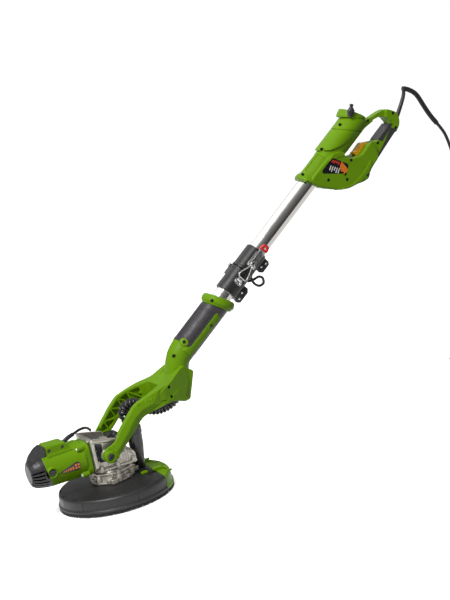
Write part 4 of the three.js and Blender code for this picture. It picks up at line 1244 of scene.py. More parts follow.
def fork():
    arms = meet(plate("y", FORK_SIDE, -FORK_HALF, FORK_HALF), plate("z", FORK_PLAN_OUT, 60, 330))
    cut(arms, plate("z", FORK_PLAN_IN, 60, 330))
    for s in (-1, 1):
        near, far = span(s, 20, ARM_END_IN)
        cut(arms, *arm_facets(s), block((-60, near, 60), (14, far, 160)), *truss_pockets(s))
        join(arms, rod("y", 13, *span(s, ARM_IN + 0.3, 70), PIVOT, 72, 1.2))
        for x in (88, 94, 100):
            join(arms, plate("y", rounded([(x, 186), (x + 2, 186.4), (x + 3.4, 200), (x + 1.4, 199.6)], 0.6),
                             *span(s, 55, 64.2)))
        flank = plate("y", rounded([(114, 190), (130, 208), (158, 219), (188, 236, 6), (204, 240, 8),
                                    (210, 212), (192, 178), (140, 184)], 3), *span(s, 27, 60))
        lean = plate("z", [(90, s * 40), (90, s * 67), (138, s * 59), (176, s * 45.5), (206, s * 34),
                           (212, s * 20)],
                     150, 260)
        lower = plate("y", rounded([(104, 173), (150, 178), (186, 164), (196, 166), (176, 196), (140, 184)],
                                   2),
                      *span(s, 20, 66))
        flare = plate("z", [(90, s * 40), (90, s * 67.5), (150, s * 56.5), (196, s * 38.5), (196, s * 20)],
                      150, 260)
        join(arms, meet(flank, lean), meet(lower, flare))
    cut(arms, plate("z", FORK_PLAN_IN, 150, 330))
    lug = plate("y", rounded([(196, 160), (207, 160.5, 5), (213.4, 170, 5), (206, 177.5, 4), (198, 177)],
                             2), -5, 5)
    cut(lug, rod("y", 2.6, -9, 9, (206.5, 169), 32))
    return moved(join(arms, lug, neck()), TO_POLE)


def lower_shell():
    body = meet(fork(), block((-900, -90, -300), (GRIP_FROM, 90, 300)))
    join(body, rod("x", 24.8, GRIP_FROM - 4, -100, (0, 0), 72), guard_collar())
    for s in (-1, 1):
        strip = plate("y", rounded([(GRIP_FROM - 12, -17), (SOFT_TO, -17), (SOFT_TO, 0), (GRIP_FROM + 8, 0),
                                    (GRIP_FROM - 12, 10)], 2.5), *span(s, 15, 30.2))
        join(body, meet(strip, rod("x", 30, -300, -100, (0, 0), 96)))
        join(body, meet(rod("y", 8, *span(s, 15, 40), BOSS_AT, 48), rod("x", 30.2, -300, -100, (0, 0), 96)))
    cavity = plate("y", rounded([(150, 186), (186, 177), (198, 186), (206, 208), (174, 208), (152, 203)],
                                4), -24, 24)
    cut(body, moved(cavity, TO_POLE))
    mouth = swept(smooth_line(HOSE_ROUTE[-4:] + [(195, 0, 197)], 3), 15.6, 32)
    cut(body, moved(mouth, TO_POLE))
    moulded(body, 0.95, 2, 0.42)
    cut(body, rod("x", TUBE_R + 0.3, -226.5, -50, (0, 0), 96))
    for s in (-1, 1):
        cut(body, moved(rod("y", BOLT_R + 0.4, *span(s, 40, 80), PIVOT, 40), TO_POLE))
        cut(body, moved(rod("y", 8, *span(s, 59, 80), PIVOT, 48), TO_POLE))
        for spot, seat in GRIP_SCREWS:
            cut(body, rod("y", 4.2, *span(s, seat, 60), spot, 40))
        cut(body, moved(rod("y", 4.2, *span(s, NECK_SEAT, 60), NECK_SCREW, 40), TO_POLE))
        for spot in BODY_SCREWS:
            cut(body, moved(rod("y", 3.8, *span(s, BODY_SEAT, 90), spot, 40), TO_POLE))
    return body


def loose_parts(made):
    """Splits a cut body into its near and far half."""
    halves = []
    for s in (-1, 1):
        copy = made.copy()
        copy.data = made.data.copy()
        bpy.context.scene.collection.objects.link(copy)
        low, high = span(s, SEAM_HALF, 90)
        halves.append(meet(copy, block((-900, low, -500), (900, high, 500))))
    drop(made)
    return halves


for half, tag in zip(loose_parts(lower_shell()), ("near", "far")):
    finished(half, "lower_shell_" + tag, POLE, LIME, "lower", ("lower_handle_" + tag,), 40)

lower_screws = []
for s in (-1, 1):
    for (u, v), seat in GRIP_SCREWS:
        lower_screws.append(((u, s * seat, v), (0, s, 0)))
    for (x, z), seat in ((NECK_SCREW, NECK_SEAT), *((spot, BODY_SEAT) for spot in BODY_SCREWS)):
        lower_screws.append((tuple(TO_POLE @ Vector((x, s * seat, z))), (0, s, 0)))
screws("lower_handle_screws", POLE, "lower", lower_screws, 3.3, DARK_STEEL, 1.6)


def arc(inner, outer, start, end, low, high, steps=24):
    """A part of a ring along X; its angles are in degrees from +Y."""
    angles = np.radians(np.linspace(start, end, steps))
    outline = [(outer * math.cos(a), outer * math.sin(a)) for a in angles]
    outline += [(inner * math.cos(a), inner * math.sin(a)) for a in angles[::-1]]
    return plate("x", outline, low, high)


def panel_lines(start, end, low, high, line=0.9):
    """Cutters for the outline of a moulded panel on the round grip."""
    wide = math.degrees(line / GRIP_R)
    return [
        arc(GRIP_R - 0.7, GRIP_R + 3, start, start + wide, low, high, 3),
        arc(GRIP_R - 0.7, GRIP_R + 3, end - wide, end, low, high, 3),
        arc(GRIP_R - 0.7, GRIP_R + 3, start + wide / 2, end - wide / 2, low, low + line),
        arc(GRIP_R - 0.7, GRIP_R + 3, start + wide / 2, end - wide / 2, high - line, high),
    ]


def beyond_collar():
    """Everything above the lower face of the leaning collar."""
    return moved(block((-11.2, -60, -90), (90, 60, 90)), COLLAR_PLACE)


def soft_grip(side, upper):
    """One quarter of the soft sleeve on the lower grip."""
    low = GRIP_FROM + 0.5
    start, end = (-9, 89.6) if upper else (-89.6, -10.5)
    body = arc(25.2, GRIP_R + 0.1, start, end, low, -78, 48)
    strip = block((-300, 10, -15.4), (SOFT_TO + 0.3, 60, 0.3))
    cut(body, beyond_collar(), strip, rod("y", 8.3, 10, 60, BOSS_AT, 40))
    if upper:
        cut(body, *panel_lines(11, 84, -212, -134, 0.8), *panel_lines(15, 80, -209.4, -136.6, 0.8))
        cut(body, arc(GRIP_R - 0.8, GRIP_R + 3, -8, 92, -130.6, -129.4))
    else:
        cut(body, *(arc(GRIP_R - 0.6, GRIP_R + 3, -92, -36, -214 + 7 * k, -213 + 7 * k) for k in range(13)))
        heel = neck(0.9)
        meet(heel, plate("y", rounded([(219, 216), (228, 213), (262, 236), (262, 262), (236, 262),
                                       (226, 244)], 4),
                         0.2, 40))
        moved(heel, TO_POLE)
        join(body, meet(heel, block((-400, 0, -60), (low + 0.6, 40, 60))))
    return on_side(bevelled(body, 0.3, 1), side)


for side, tag in ((-1, "near"), (1, "far")):
    finished(soft_grip(side, True), "soft_grip_top_" + tag, POLE, SOFT, "lower", ("lower_grip_top_" + tag,))
    finished(soft_grip(side, False), "soft_grip_under_" + tag, POLE, SOFT, "lower",
             ("lower_grip_under_" + tag,))


# ---- Tubes, sleeves and fold joint --------------------------------------------------------------

SPLIT = -11
SLEEVE_R = 25
FOLD_PIN = (SPLIT, 31.5)
NOTCH = (-31, 13)
LATCH_V = 2


def tube(low, high):
    return cut(ring("x", 18, TUBE_R, low, high, (0, 0), 128, 0.5),
               block((NOTCH[0], -9, -40), (NOTCH[1], 9, -12)))


def knuckle(low, high, toward):
    """A hinge knuckle and its leaf on the far side of a sleeve."""
    x, y = FOLD_PIN
    leaf = block((min(x, x + toward * 22), 20, low), (max(x, x + toward * 22), y, high))
    clear = block((min(x, x - toward * 30), 0, low - 1), (max(x, x - toward * 30), 26, high + 1))
    return join(cut(leaf, clear), rod("z", 5, low, high, FOLD_PIN, 48, 0.5))


def sleeve(low, high, flange, ears, toward, pin_bore=2.5):
    body = turned("x", [(0, low), (SLEEVE_R - 1, low), (SLEEVE_R, low + 1), (SLEEVE_R, high - 1.6),
                        (SLEEVE_R - 1.6, high), (0, high)], (0, 0), 128)
    lip_at = high if toward < 0 else low
    lip_low, lip_high = (lip_at - 5, lip_at) if toward < 0 else (lip_at, lip_at + 5)
    join(body, rod("x", SLEEVE_R + 1.2, lip_low, lip_high, (0, 0), 128, 0.6))
    join(body, bevelled(plate("y", flange, -3.5, 3.5), 0.5, 2), *(knuckle(a, b, toward) for a, b in ears))
    cut(body, block((NOTCH[0], -9, -30), (NOTCH[1], 9, -12)))
    cut(body, rod("x", TUBE_R + 0.3, low - 1, high + 1, (0, 0), 128),
        rod("z", pin_bore, -30, 30, FOLD_PIN, 32))
    return body


LOWER_FLANGE = rounded([(-69, -20), (-71, -36, 1), (-66, -42.5, 1), (-38, -42.5, 1), (-31, -36, 1),
                        (-32, -20)], 1)
UPPER_FLANGE = rounded([(14, -20), (14, -36, 1), (19, -42.5, 1), (41, -42.5, 1), (46, -37, 1), (46, -20)], 1)
finished(tube(-226, SPLIT - 1.5), "lower_pole", POLE, TUBE, "lower", ("lower_tube",))
finished(tube(SPLIT + 1.5, 385), "upper_pole", POLE, TUBE, "handle", ("upper_tube",))
finished(sleeve(-71, SPLIT - 1, LOWER_FLANGE, [(-18, -6.3), (6.3, 18)], -1), "lower_clamp", POLE, COATED,
         "lower", ("lower_sleeve",))
finished(sleeve(SPLIT + 1, 46, UPPER_FLANGE, [(-6, 6)], 1), "upper_clamp", POLE, COATED, "handle",
         ("upper_sleeve",))
finished(join(rod("z", 2.2, -19, 19, FOLD_PIN, 32), rod("z", 4.2, 18.4, 20.4, FOLD_PIN, 32, 0.6),
              rod("z", 4.2, -20.4, -18.4, FOLD_PIN, 32, 0.6)), "hinge_pin", POLE, STEEL, "handle",
         ("fold_pin",))


def rivets(spots, radius=2.6):
    """Domed rivet heads; a spot is its place and its outward way."""
    made = []
    for at, way in spots:
        head = turned("z", [(0, -1), (radius, -1), (radius, 0.3), (radius * 0.8, 0.9), (radius * 0.4, 1.25),
                            (0, 1.35)],
                      (0, 0), 28)
        made.append(facing(head, at, way))
    return merged(*made)


finished(rivets([((u, s * 3.5, v), (0, s, 0)) for u, v in ((-61, -34.5), (-47, -31)) for s in (-1, 1)]),
         "lower_flange_rivets", POLE, STEEL, "lower")
finished(rivets([((u, s * 3.5, v), (0, s, 0)) for u, v in ((26, -31), (39, -34.5)) for s in (-1, 1)]),
         "upper_flange_rivets", POLE, STEEL, "handle")

CABLE_ROUTE = [
    (-48, 0, -12), (-34, -1, -12.5), (-24, -3, -19), (-16, -5, -28), (-6, -5.5, -34), (5, -5.5, -39),
    (9, -4, -49), (2, -2, -59), (-8, 1, -56), (-11, 4, -44), (-7, 5.5, -33), (-1, 5, -24), (6, 2, -16),
    (16, 0, -12), (28, 0, -12),
]
cable = finished(swept(smooth_line(CABLE_ROUTE, 1.5), 2.9, 20), "fold_cable_sheath", POLE, CORD, None,
                 ("fold_cable",), 60)
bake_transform(cable)


# ---- Over-centre latch --------------------------------------------------------------------------

LEVER_PIN = (8, -28.8)
STRAP_HALF = 7.3     # half the width of the lever


def latch_catch():
    keep = plate("y", rounded([(-46, LATCH_V - 10), (-35, LATCH_V - 10), (-35, LATCH_V + 10),
                               (-46, LATCH_V + 10)], 4),
                 -27.4, -25.2)
    hook = plate("z", rounded([(-38, -25.4), (-31, -25.4), (-31, -27.4), (-34.6, -28.6), (-38, -28)], 0.6),
                 LATCH_V - 6, LATCH_V + 6)
    return bevelled(join(keep, hook), 0.25, 1)


def latch_bracket():
    base = plate("y", rounded([(2, LATCH_V - 9.6), (40, LATCH_V - 9.6), (40, LATCH_V + 9.6),
                               (2, LATCH_V + 9.6)], 2),
                 -26.3, -25.2)
    for s in (-1, 1):
        ear = plate("z", rounded([(2, -25.2), (2, -30), (5, -31.4), (12, -31.4), (14, -29), (14, -25.2)],
                                 0.8),
                    LATCH_V + s * 8.6 - 1, LATCH_V + s * 8.6 + 1)
        join(base, ear)
    cut(base, rod("z", 1.9, -30, 30, LEVER_PIN, 24))
    return bevelled(base, 0.2, 1)


def latch_lever():
    body = rod("z", 1.6, LATCH_V - 9.6, LATCH_V + 9.6, LEVER_PIN, 24)
    join(body, rod("z", 2.6, LATCH_V - 10.6, LATCH_V - 9.5, LEVER_PIN, 24),
         rod("z", 2.6, LATCH_V + 9.5, LATCH_V + 10.6, LEVER_PIN, 24))
    for s in (-1, 1):
        join(body, plate("z", rounded([(5.6, -27.4), (5.6, -31), (10, -33.2), (46, -33.2), (46, -29),
                                       (30, -27.6)], 1.4),
                         LATCH_V + s * 6.6 - 0.7, LATCH_V + s * 6.6 + 0.7))
    low, high = LATCH_V - STRAP_HALF, LATCH_V + STRAP_HALF
    deck = plate("y", rounded([(24, low), (47, low), (47, high), (24, high)], 2), -33.9, -32.6)
    bridge = plate("y", rounded([(14, low), (18, low), (18, high), (14, high)], 1), -33.9, -32.6)
    return bevelled(join(body, deck, bridge), 0.25, 1)


def latch_tip():
    """A thick red loop with a finger hole at the end of the lever."""
    loop = plate("y", rounded([(47.3, LATCH_V - 9), (54, LATCH_V - 9.2, 5), (62.6, LATCH_V - 6, 7),
                               (62.6, LATCH_V + 6, 7), (54, LATCH_V + 9.2, 5), (47.3, LATCH_V + 9)], 3, 10),
                 -35, -28)
    hole = plate("y", rounded([(51.5, LATCH_V - 4.6), (57.6, LATCH_V - 4.6), (57.6, LATCH_V + 4.6),
                               (51.5, LATCH_V + 4.6)],
                              2.6, 8), -40, -20)
    return bevelled(cut(loop, hole), 1.1, 3)


def latch_bail():
    v = LATCH_V
    loop = smooth_line([
        (20, -30.9, v - 5.2), (12, -32.0, v - 3.6), (2, -32.2, v - 3.2), (-10, -30.6, v - 7.4),
        (-24, -29.8, v - 11.4),
        (-28.6, -29.6, v - 9), (-28.9, -29.6, v), (-28.6, -29.6, v + 9), (-24, -29.8, v + 11.4),
        (-10, -30.6, v + 7.4), (2, -32.2, v + 3.2), (12, -32.0, v + 3.6), (20, -30.9, v + 5.2),
    ], 0.8)
    return swept(loop, 1.35, 16)


finished(latch_catch(), "catch_plate", POLE, STEEL, "lower", ("latch_catch",))
finished(rivets([((-40.5, -27.4, 9.0), (0, -1, 0)), ((-40.5, -27.4, -4.6), (0, -1, 0))], 2.4),
         "catch_rivets", POLE, STEEL, "lower")
finished(latch_bracket(), "bracket_plate", POLE, STEEL, "handle", ("latch_bracket",))
finished(latch_lever(), "lever_plate", POLE, STEEL, "latch_lever", ("latch_lever",))
finished(latch_tip(), "lever_loop", POLE, RED, "latch_lever", ("latch_tip",))
finished(latch_bail(), "bail_wire", POLE, STEEL, "latch_bail", ("latch_bail",), 60)


# ---- Rear handle --------------------------------------------------------------------------------

PORT_AT = (419, 0, 12)
PORT_TILT = math.radians(35.5)
PORT_IN_POLE = Matrix.Translation(PORT_AT) @ Matrix.Rotation(-PORT_TILT, 4, "Y")
# Outlines of the rear handle in the pole frame, as distances up the pole and across it
BELLY = [
    (238, 9), (240, -11), (254, -35), (273, -62), (291, -77), (314, -88), (324, -95), (340, -101),
    (352, -94), (367, -91), (392, -89), (404, -70), (403, -44), (366, -45), (352, -38), (342, -30),
    (337, -14), (326, 2), (312, 10), (250, 12),
]
HANDLE_LOOP = [
    (350, -97), (385, -93), (422, -90), (465, -87), (469, -89.5), (482, -88), (490, -83), (497, -75),
    (501, -65), (500, -56), (495, -46), (489, -36), (471, -27.5), (452, -22), (432, -8), (425, 4),
    (380, 4), (350, -20),
]
HAND_HOLE = rounded([
    (339, -26), (345, -22.5), (418, -22), (440, -26.5), (458, -32.5), (470, -39.5), (477, -50), (476, -61),
    (471, -66), (420, -66), (408, -56), (402, -50.5), (368, -52), (354, -44), (343, -37),
], 4)
BAR_HALF = 10
BAR_SIDES = rounded([
    (430, 6), (444.5, -20.5), (448, -30.5), (459, -34), (471, -41), (476.5, -49), (484, -41), (491, -37),
    (493, -20), (470, 6),
], 2)
SLANTED = [(250, 60), (290, 53), (299, 42), (322, 17), (342, 5), (366, -4), (385, -30), (250, -30)]
LABEL = [(270.5, -2), (274, 3.4), (312.5, 3.2), (328.5, -36.5), (325, -42), (313, -46.5), (306, -44)]
GRIP_ON_LOOP = [(424, -65.4), (471, -65.4), (475.5, -69.5), (463, -71.8), (428, -75.5)]
GRIP_ROOM = rounded([(423.4, -60), (477, -60), (476.6, -69.2), (463.4, -72.2), (427.4, -76)], 2)
STRIP_ON_LOOP = [(385, -104), (470, -104), (473, -90), (466, -72), (425, -83), (388, -91)]
BELLY_HALF = 30
LOOP_HALF = 18
BARREL_R = 27.5
REAR_SCREWS = [
    # place in the pole frame, and how far from the middle plane its seat lies
    ((243, 28), 11), ((315, 29), 11.5), ((386, 29.5), 12), ((269.5, -23), 28), ((301, -58.5), 28),
    ((340, -38), 28),
    ((418, -70.5), 16), ((438.5, -18), 8.5), ((494, -56), 16), ((343, -93.5), 26), ((474, -83), 16),
]


def oval_barrel(low, high, grow=0.0):
    made = rod("x", 1, low, high, (0, 0), 120)
    return moved(made, Matrix.Translation((0, 0, 5.5)) @ Matrix.Diagonal((1, 31.5 + grow, 27 + grow, 1)))


def on_port(made):
    return moved(made, PORT_IN_POLE)


def rear_body():
    nose = turned("x", [(0, 231.6), (29.5, 231.6), (31, 232.6), (31.7, 235), (31.4, 239), (30, 243.5),
                        (28, 248), (27.5, 252), (27.5, 404), (0, 404)], (0, 0), 120)
    cut(nose, plate("y", [(220, 16), (236, 16), (239, 5), (241.5, -9), (257, -37), (220, -37)], -50, 50))
    wide = cut(oval_barrel(300, 450), plate("y", SLANTED, -50, 50))
    belly = bevelled(plate("y", rounded(BELLY, 6, 8), -BELLY_HALF, BELLY_HALF), 6, 4, 50)
    body = join(nose, wide, belly)
    cut(body, on_port(block((-0.6, -60, -80), (90, 60, 60))))
    loop = bevelled(plate("y", rounded(HANDLE_LOOP, 8, 8), -LOOP_HALF, LOOP_HALF), 5, 4, 50)
    for s in (-1, 1):
        cut(loop, plate("y", BAR_SIDES, *span(s, BAR_HALF, 40)))
    cut(loop, on_port(rod("x", 33.2, 0, 60, (0, 0), 96)))
    join(body, loop)
    for s in (-1, 1):
        ridge = plate("y", rounded([(262, -50), (279, -65), (300, -76), (324, -80), (352, -80), (372, -76),
                                    (368, -84),
                                    (350, -89), (322, -89), (296, -76), (276, -62)], 2), *span(s, 26, 31.2))
        shoulder = plate("y", rounded([(300, 4), (318, 8), (334, -2), (342, -14), (336, -18), (322, -8)], 3),
                         *span(s, 22, 31.4))
        join(body, bevelled(ridge, 1.4, 3, 50), bevelled(shoulder, 1.6, 3, 50))
    return cut(body, plate("y", HAND_HOLE, -60, 60))


def rear_shell():
    body = moulded(rear_body(), 1.05, 3, 0.42)
    cut(body, rod("x", TUBE_R + 0.3, 200, 408, (0, 0), 96))
    room = plate("y", rounded([(264, -28), (284, -62), (298, -73), (318, -84), (340, -94), (352, -88),
                               (380, -84), (396, -72), (352, -58), (335, -40), (331, -22), (318, 2), (306, 6),
                               (272, 6)], 5),
                 -25, 25)
    pad_room = plate("y", rounded([(380, -71.5), (464, -71.5), (468, -80), (462, -84.5), (380, -86.5)], 3),
                     -13, 13)
    slot = block((359.6, -9, -80), (409.5, 9, -38))
    cut(body, room, pad_room, slot, on_port(rod("x", 24, -14, 10, (0, 0), 96)))
    cut(body, rod("x", 6.2, 486, 520, (0, -77), 48))
    for (u, v), seat in REAR_SCREWS:
        cut(body, rod("y", 3.9, -60, -seat, (u, v), 40))
    for s in (-1, 1):
        cut(body, plate("y", GRIP_ROOM, *span(s, LOOP_HALF - 2.6, 60)),
            plate("y", rounded(STRIP_ON_LOOP, 3), *span(s, LOOP_HALF - 2.6, 60)))
        panel = arc(BARREL_R - 1.3, BARREL_R + 6, 27, 78, 254, 303)
        cut(body, on_side(panel, s))
    cut(body, plate("y", rounded(LABEL, 4), -60, -BELLY_HALF + 0.7))
    cut(body, plate("y", rounded([(423.2, -60), (477, -60), (473, -69.3), (423.2, -69.3)], 0.8), -60, 60))
    groove = cut(on_port(block((-28.4, -60, -80), (-26.6, 60, 60))), oval_barrel(300, 450, -1.5),
                 plate("y", [(300, -21), (470, -21), (470, -140), (300, -140)], -70, 70))
    cut(body, groove)
    return cut(body, block((200, -0.12, -200), (600, 0.12, 200)))


for half, tag in zip(loose_parts(rear_shell()), ("near", "far")):
    finished(half, "rear_shell_" + tag, POLE, LIME, "handle", ("rear_handle_" + tag,), 40)
screws("rear_handle_screws", POLE, "handle",
       [((u, -seat, v), (0, -1, 0)) for (u, v), seat in REAR_SCREWS], 3.2, DARK_STEEL, 1.6)


def within_loop(made, proud):
    """Keeps a pad to the rounded shape of the handle, standing a little proud of it."""
    outline = rounded([(u, v - proud if v < -80 else v) for u, v in HANDLE_LOOP], 8, 8)
    limit = bevelled(plate("y", outline, -LOOP_HALF - proud, LOOP_HALF + proud), 5.5, 4, 50)
    return meet(made, limit)


def loop_grip(side):
    over = plate("y", rounded([(424, -65.3), (471.4, -65.3), (473, -69), (424, -69)], 0.8),
                 *span(side, SEAM_HALF, 18.8))
    down = plate("y", rounded(GRIP_ON_LOOP, 2), *span(side, LOOP_HALF - 2.4, LOOP_HALF + 0.8))
    made = join(over, down)
    corner = plate("x", [(side * 13, -60), (side * 30, -60), (side * 30, -74)], 410, 480)
    cut(made, corner)
    return bevelled(made, 0.9, 3, 40)


def loop_strip(side):
    pad = plate("y", rounded(STRIP_ON_LOOP, 3), *span(side, LOOP_HALF - 2.4, LOOP_HALF + 4))
    return bevelled(within_loop(pad, 0.6), 0.4, 2)


for side, tag in ((-1, "near"), (1, "far")):
    finished(loop_grip(side), "loop_grip_" + tag, POLE, SOFT, "handle", ("rear_grip_" + tag,))
    finished(loop_strip(side), "loop_strip_" + tag, POLE, SOFT, "handle")


def flat_piece(outline, low, high):
    """A flat piece on the near side, between two distances from the middle plane."""
    return plate("y", outline, *span(-1, low, high))


def label_blocks(count, start, step, across, along, spread=0.0):
    """Flat bars that stand in for print: each begins at start + k * step and spans across and along."""
    y = BELLY_HALF - 0.2
    made = []
    for k in range(count):
        a = Vector(start) + Vector(step) * k
        b = a + Vector(across) * (1 + spread * math.sin(2.3 * k))
        made.append(flat_piece([tuple(a), tuple(b), tuple(b + Vector(along)), tuple(a + Vector(along))], y,
                               y + 0.2))
    return merged(*made)


def rating_label():
    """A dark plate with blocks of colour in place of any print."""
    y = BELLY_HALF - 0.6
    finished(flat_piece(rounded(LABEL, 3.6), y - 0.1, y + 0.45), "side_label", POLE, PRINT_BLACK, "handle")
    finished(label_blocks(5, (321.6, -20.6), (-0.55, -4.9), (-15.4, -6.6), (0.4, -3.7), 0.1),
             "side_label_warm", POLE, PRINT_ORANGE, "handle")
    finished(label_blocks(4, (309.5, 0.2), (2.2, -4.9), (-5.4, -1.9), (1.5, -3.6), 0.2), "side_label_red",
             POLE, PRINT_RED, "handle")
    finished(label_blocks(5, (297.2, -5.2), (2.3, -5.1), (-10.4, -3.6), (0.8, -2.2), 0.25),
             "side_label_pale", POLE, PRINT_WHITE, "handle")


rating_label()

RIM_SLOPE = 14
LOCK_ROUND = 31


def dust_collar():
    """The swivel ring on the dust port, cut to a wedge so that its rim slopes down toward the handle."""
    body = turned("x", [(23.4, 0.6), (31.6, 0.5), (32.6, 1.4), (32.8, 5), (31.4, 10), (29.6, 15), (27.4, 21),
                        (26.4, 26), (24.6, 26), (24.4, 14), (23.4, 10)], (0, 0), 120)
    return bevelled(cut(body, over_rim(0)), 0.5, 3, 40)


def over_rim(proud):
    """The space beyond the sloping rim of the collar."""
    space = block((proud, -60, -80), (60, 60, 80))
    return moved(space, Matrix.Translation((12, 0, 0)) @ Matrix.Rotation(math.radians(RIM_SLOPE), 4, "Y"))


def collar_liner():
    liner = turned("x", [(22.6, 3), (23.6, 3), (24.6, 14), (25.6, 15), (25.6, 26), (22.6, 26)], (0, 0), 96)
    return cut(liner, over_rim(0.5))


def lock_knob():
    """A bullet-shaped lever with a small round cap, on a hub at the side of the port."""
    hub = rod("y", 7.6, -38, -33.2, (9, 0), 56, 0.6)
    lever = turned("x", [(0, 0.6), (2.2, 0.8), (3.2, 2.6), (6.6, 9), (8.4, 13.4), (8, 16.6), (5.6, 21),
                         (3.8, 23.6),
                         (3.6, 24.6), (4.3, 25.6), (4.4, 29.4), (3.4, 30.6), (0, 30.8)], (0, 0), 56)
    moved(lever, Matrix.Translation((0, -37.6, 0)) @ Matrix.Diagonal((1, 0.5, 1, 1)))
    made = join(hub, lever)
    return moved(made, Matrix.Rotation(-math.radians(LOCK_ROUND), 4, "X"))


def trigger():
    outline = rounded([(363, -60), (362.4, -40.2), (366.4, -40.6), (371, -44.2), (393, -43.8), (403, -50),
                       (407.6, -58), (408.2, -65), (400, -67), (364, -66)], 2.2, 8)
    body = bevelled(plate("y", outline, -8, 8), 1.8, 4, 40)
    valley = rod("x", 14, 374, 392, (0, -30.6), 64)
    return cut(body, bevelled(valley, 1.5, 3))


finished(on_port(dust_collar()), "port_ring", POLE, LIME, "collar", ("dust_collar",))
finished(on_port(collar_liner()), "port_liner", POLE, BLACK, "collar")
finished(on_port(lock_knob()), "port_lock", POLE, BOOT, "collar_lock", ("collar_lock",))
finished(trigger(), "trigger_blade", POLE, ORANGE, "trigger", ("trigger",))

# Routes in the pole frame
BOOT_ROUTE = [(501.6, 0, -76.6), (510, 0, -73.8), (524, 0, -68.6), (538, 0, -63), (549, 0, -57.6),
              (559, 0, -50)]
SLEEVE_ROUTE = [
    (558.6, 0, -45.5), (564.5, 0, -54), (569, 0, -64), (572.3, 0, -76), (572.2, 0, -88), (569.3, 0, -103),
    (564.5, 0, -127), (561.5, 0, -149), (560.5, 0, -170),
]


def cord_boot():
    """A slim bend relief that tapers away from the handle."""
    line = smooth_line(BOOT_ROUTE, 0.4)
    along = np.linspace(0, 1, len(line))
    return swept(line, 5.1 - 0.9 * along, 32)


def cord_sleeve():
    """The thick, bent sleeve over the cord, square at its start and rounded at its end."""
    line = smooth_line(SLEEVE_ROUTE, 0.5)
    along = np.linspace(0, 1, len(line))
    end = np.clip((along - 0.965) / 0.035, 0, 1)
    radii = np.where(along < 0.02, 5.2, 5.6) * np.sqrt(np.maximum(1 - (end * 0.94) ** 2, 0))
    return swept(line, radii, 36)


finished(cord_boot(), "bend_relief", POLE, BOOT, "handle", ("cord_boot",), 30)
finished(cord_sleeve(), "cord_sleeve", POLE, RUBBER_BLACK, "handle", (), 40)


# ---- Stage, light and camera --------------------------------------------------------------------

FLOOR_GAP = 0.0004      # in metres, as is the floor's half width
FLOOR_HALF = 40


def stage_floor():
    low = cad_bounds[0][2] - FLOOR_GAP
    half = FLOOR_HALF
    corners = [(-half, -half, low), (half, -half, low), (half, half, low), (-half, half, low)]
    floor = shape(corners, [(0, 1, 2, 3)])
    floor.name = "floor"
    m = Nodes("pale_floor")
    m.colour(m.mixed(m.mapped(m.noise(1.5, 3), 0, 1), (0.90, 0.90, 0.90), (0.93, 0.93, 0.93)))
    m.roughness(m.mapped(m.noise(8, 3), 0.6, 0.75))
    m.shader.inputs["Emission Color"].default_value = (1, 1, 1, 1)
    floor.data.materials.append(m.plain(Specular_IOR_Level=0.1, Emission_Strength=0.55))
    floor.visible_diffuse = False


MIDDLE = (-0.3, 0, -0.2)     # the point that the lights face, in metres


def area_light(name, at, aim, size, power):
    data = bpy.data.lights.new(name, "AREA")
    data.shape = "RECTANGLE"
    data.size, data.size_y = size
    data.energy = power
    light = bpy.data.objects.new(name, data)
    bpy.context.scene.collection.objects.link(light)
    light.location = at
    light.rotation_euler = (Vector(aim) - Vector(at)).to_track_quat("-Z", "Y").to_euler()


CARD_RADIUS = 0.3       # in metres, as is the length of the cards
CARD_LENGTH = 0.75
CARD_STRIPS = [
    # edges in degrees round the pole, from the side that faces the camera, and the brightness between them
    (-140, -46, 1.3), (-44, -34, 0.42), (-34, -22, 0.3), (-22, -8, 0.2), (-8, 6, 0.15), (6, 20, 0.115),
    (20, 34, 0.08), (34, 48, 0.05), (48, 61, 0.035), (61, 100, 0.66), (100, 142, 0.72),
]


def reflector_cards():
    """A curved row of cards beside the pole that only reflections see, for the bands on the bright tube."""
    along = (POLE.to_3x3() @ Vector((1, 0, 0))).normalized()
    back = Vector((-0.39, -0.9, 0.21))
    toward = (back - along * back.dot(along)).normalized()
    aside = along.cross(toward)
    start = POLE @ Vector((-50, 0, 0))
    for low, high, strength in CARD_STRIPS:
        steps = max(1, round((high - low) / 12))
        corners = []
        for k in range(steps + 1):
            angle = math.radians(low + (high - low) * k / steps)
            rim = start + (toward * math.cos(angle) + aside * math.sin(angle)) * CARD_RADIUS
            corners += [rim, rim + along * CARD_LENGTH]
        card = shape(corners, [(2 * k, 2 * k + 1, 2 * k + 3, 2 * k + 2) for k in range(steps)])
        card.name = f"card_{low + 200}"
        m = Nodes(card.name)
        m.colour(m.mixed(m.mapped(m.noise(2, 2), 0, 1), (0, 0, 0), (0.004, 0.004, 0.004)))
        m.shader.inputs["Emission Color"].default_value = (1.0, 0.97, 0.93, 1)
        card.data.materials.append(m.plain(Specular_IOR_Level=0.0, Emission_Strength=strength))
        card.visible_camera = False
        card.visible_diffuse = False
        card.visible_shadow = False


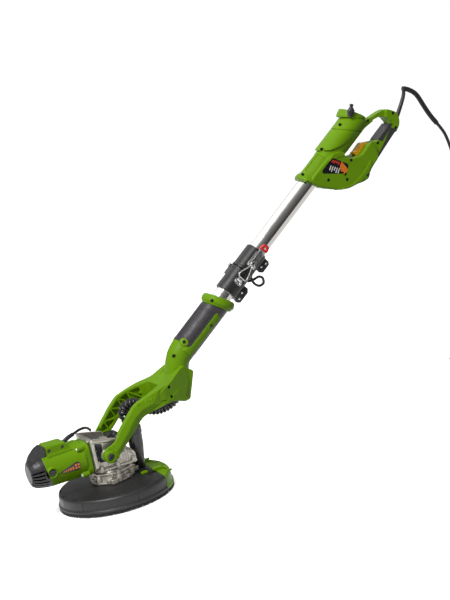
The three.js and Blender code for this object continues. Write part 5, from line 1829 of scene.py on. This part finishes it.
def studio():
    """A white surround for the camera and a softer, uneven one for the light that falls on the tool."""
    world = bpy.data.worlds.new("studio")
    bpy.context.scene.world = world
    world.use_nodes = True
    tree = world.node_tree
    background = tree.nodes["Background"]
    place = tree.nodes.new("ShaderNodeTexCoord")
    slope = tree.nodes.new("ShaderNodeVectorMath")
    slope.operation = "DOT_PRODUCT"
    slope.inputs[1].default_value = Vector((-0.62, -0.25, 0.74)).normalized()
    tree.links.new(place.outputs["Generated"], slope.inputs[0])
    dim = tree.nodes.new("ShaderNodeMapRange")
    for key, value in (("From Min", -0.5), ("From Max", 0.95), ("To Min", 0.1), ("To Max", 0.75)):
        dim.inputs[key].default_value = value
    tree.links.new(slope.outputs["Value"], dim.inputs["Value"])
    path = tree.nodes.new("ShaderNodeLightPath")
    seen = tree.nodes.new("ShaderNodeMix")
    tree.links.new(path.outputs["Is Camera Ray"], seen.inputs["Factor"])
    tree.links.new(dim.outputs["Result"], seen.inputs["A"])
    seen.inputs["B"].default_value = 1.0
    tree.links.new(seen.outputs["Result"], background.inputs["Strength"])
    background.inputs["Color"].default_value = (1, 1, 1, 1)
    area_light("key", (-2.1, -1.2, 2.1), MIDDLE, (0.8, 0.8), 80)
    area_light("rim", (0.9, 1.6, 1.6), MIDDLE, (1.2, 0.6), 16)


EYE_AT = (-1052.1, -3196.7, 1074.8)
EYE_TURN = (-23.58, 11.86, -12.08)      # azimuth, elevation and roll in degrees
LENS = 97.67


def camera():
    azimuth, elevation, roll = (math.radians(a) for a in EYE_TURN)
    back = Vector((math.sin(azimuth) * math.cos(elevation), -math.cos(azimuth) * math.cos(elevation),
                   math.sin(elevation)))
    right = Vector((0, 0, 1)).cross(back).normalized()
    up = back.cross(right)
    tilted_right = right * math.cos(roll) + up * math.sin(roll)
    tilted_up = up * math.cos(roll) - right * math.sin(roll)
    data = bpy.data.cameras.new("camera")
    data.lens = LENS
    data.sensor_width = 36
    data.clip_end = 100
    eye = bpy.data.objects.new("camera", data)
    bpy.context.scene.collection.objects.link(eye)
    eye.matrix_world = Matrix((
        (tilted_right.x, tilted_up.x, back.x, 0),
        (tilted_right.y, tilted_up.y, back.y, 0),
        (tilted_right.z, tilted_up.z, back.z, 0),
        (0, 0, 0, 1),
    ))
    eye.location = HEAD @ Vector(EYE_AT)
    bpy.context.scene.camera = eye


stage_floor()
reflector_cards()
studio()
camera()
bpy.context.scene.view_settings.view_transform = "Standard"
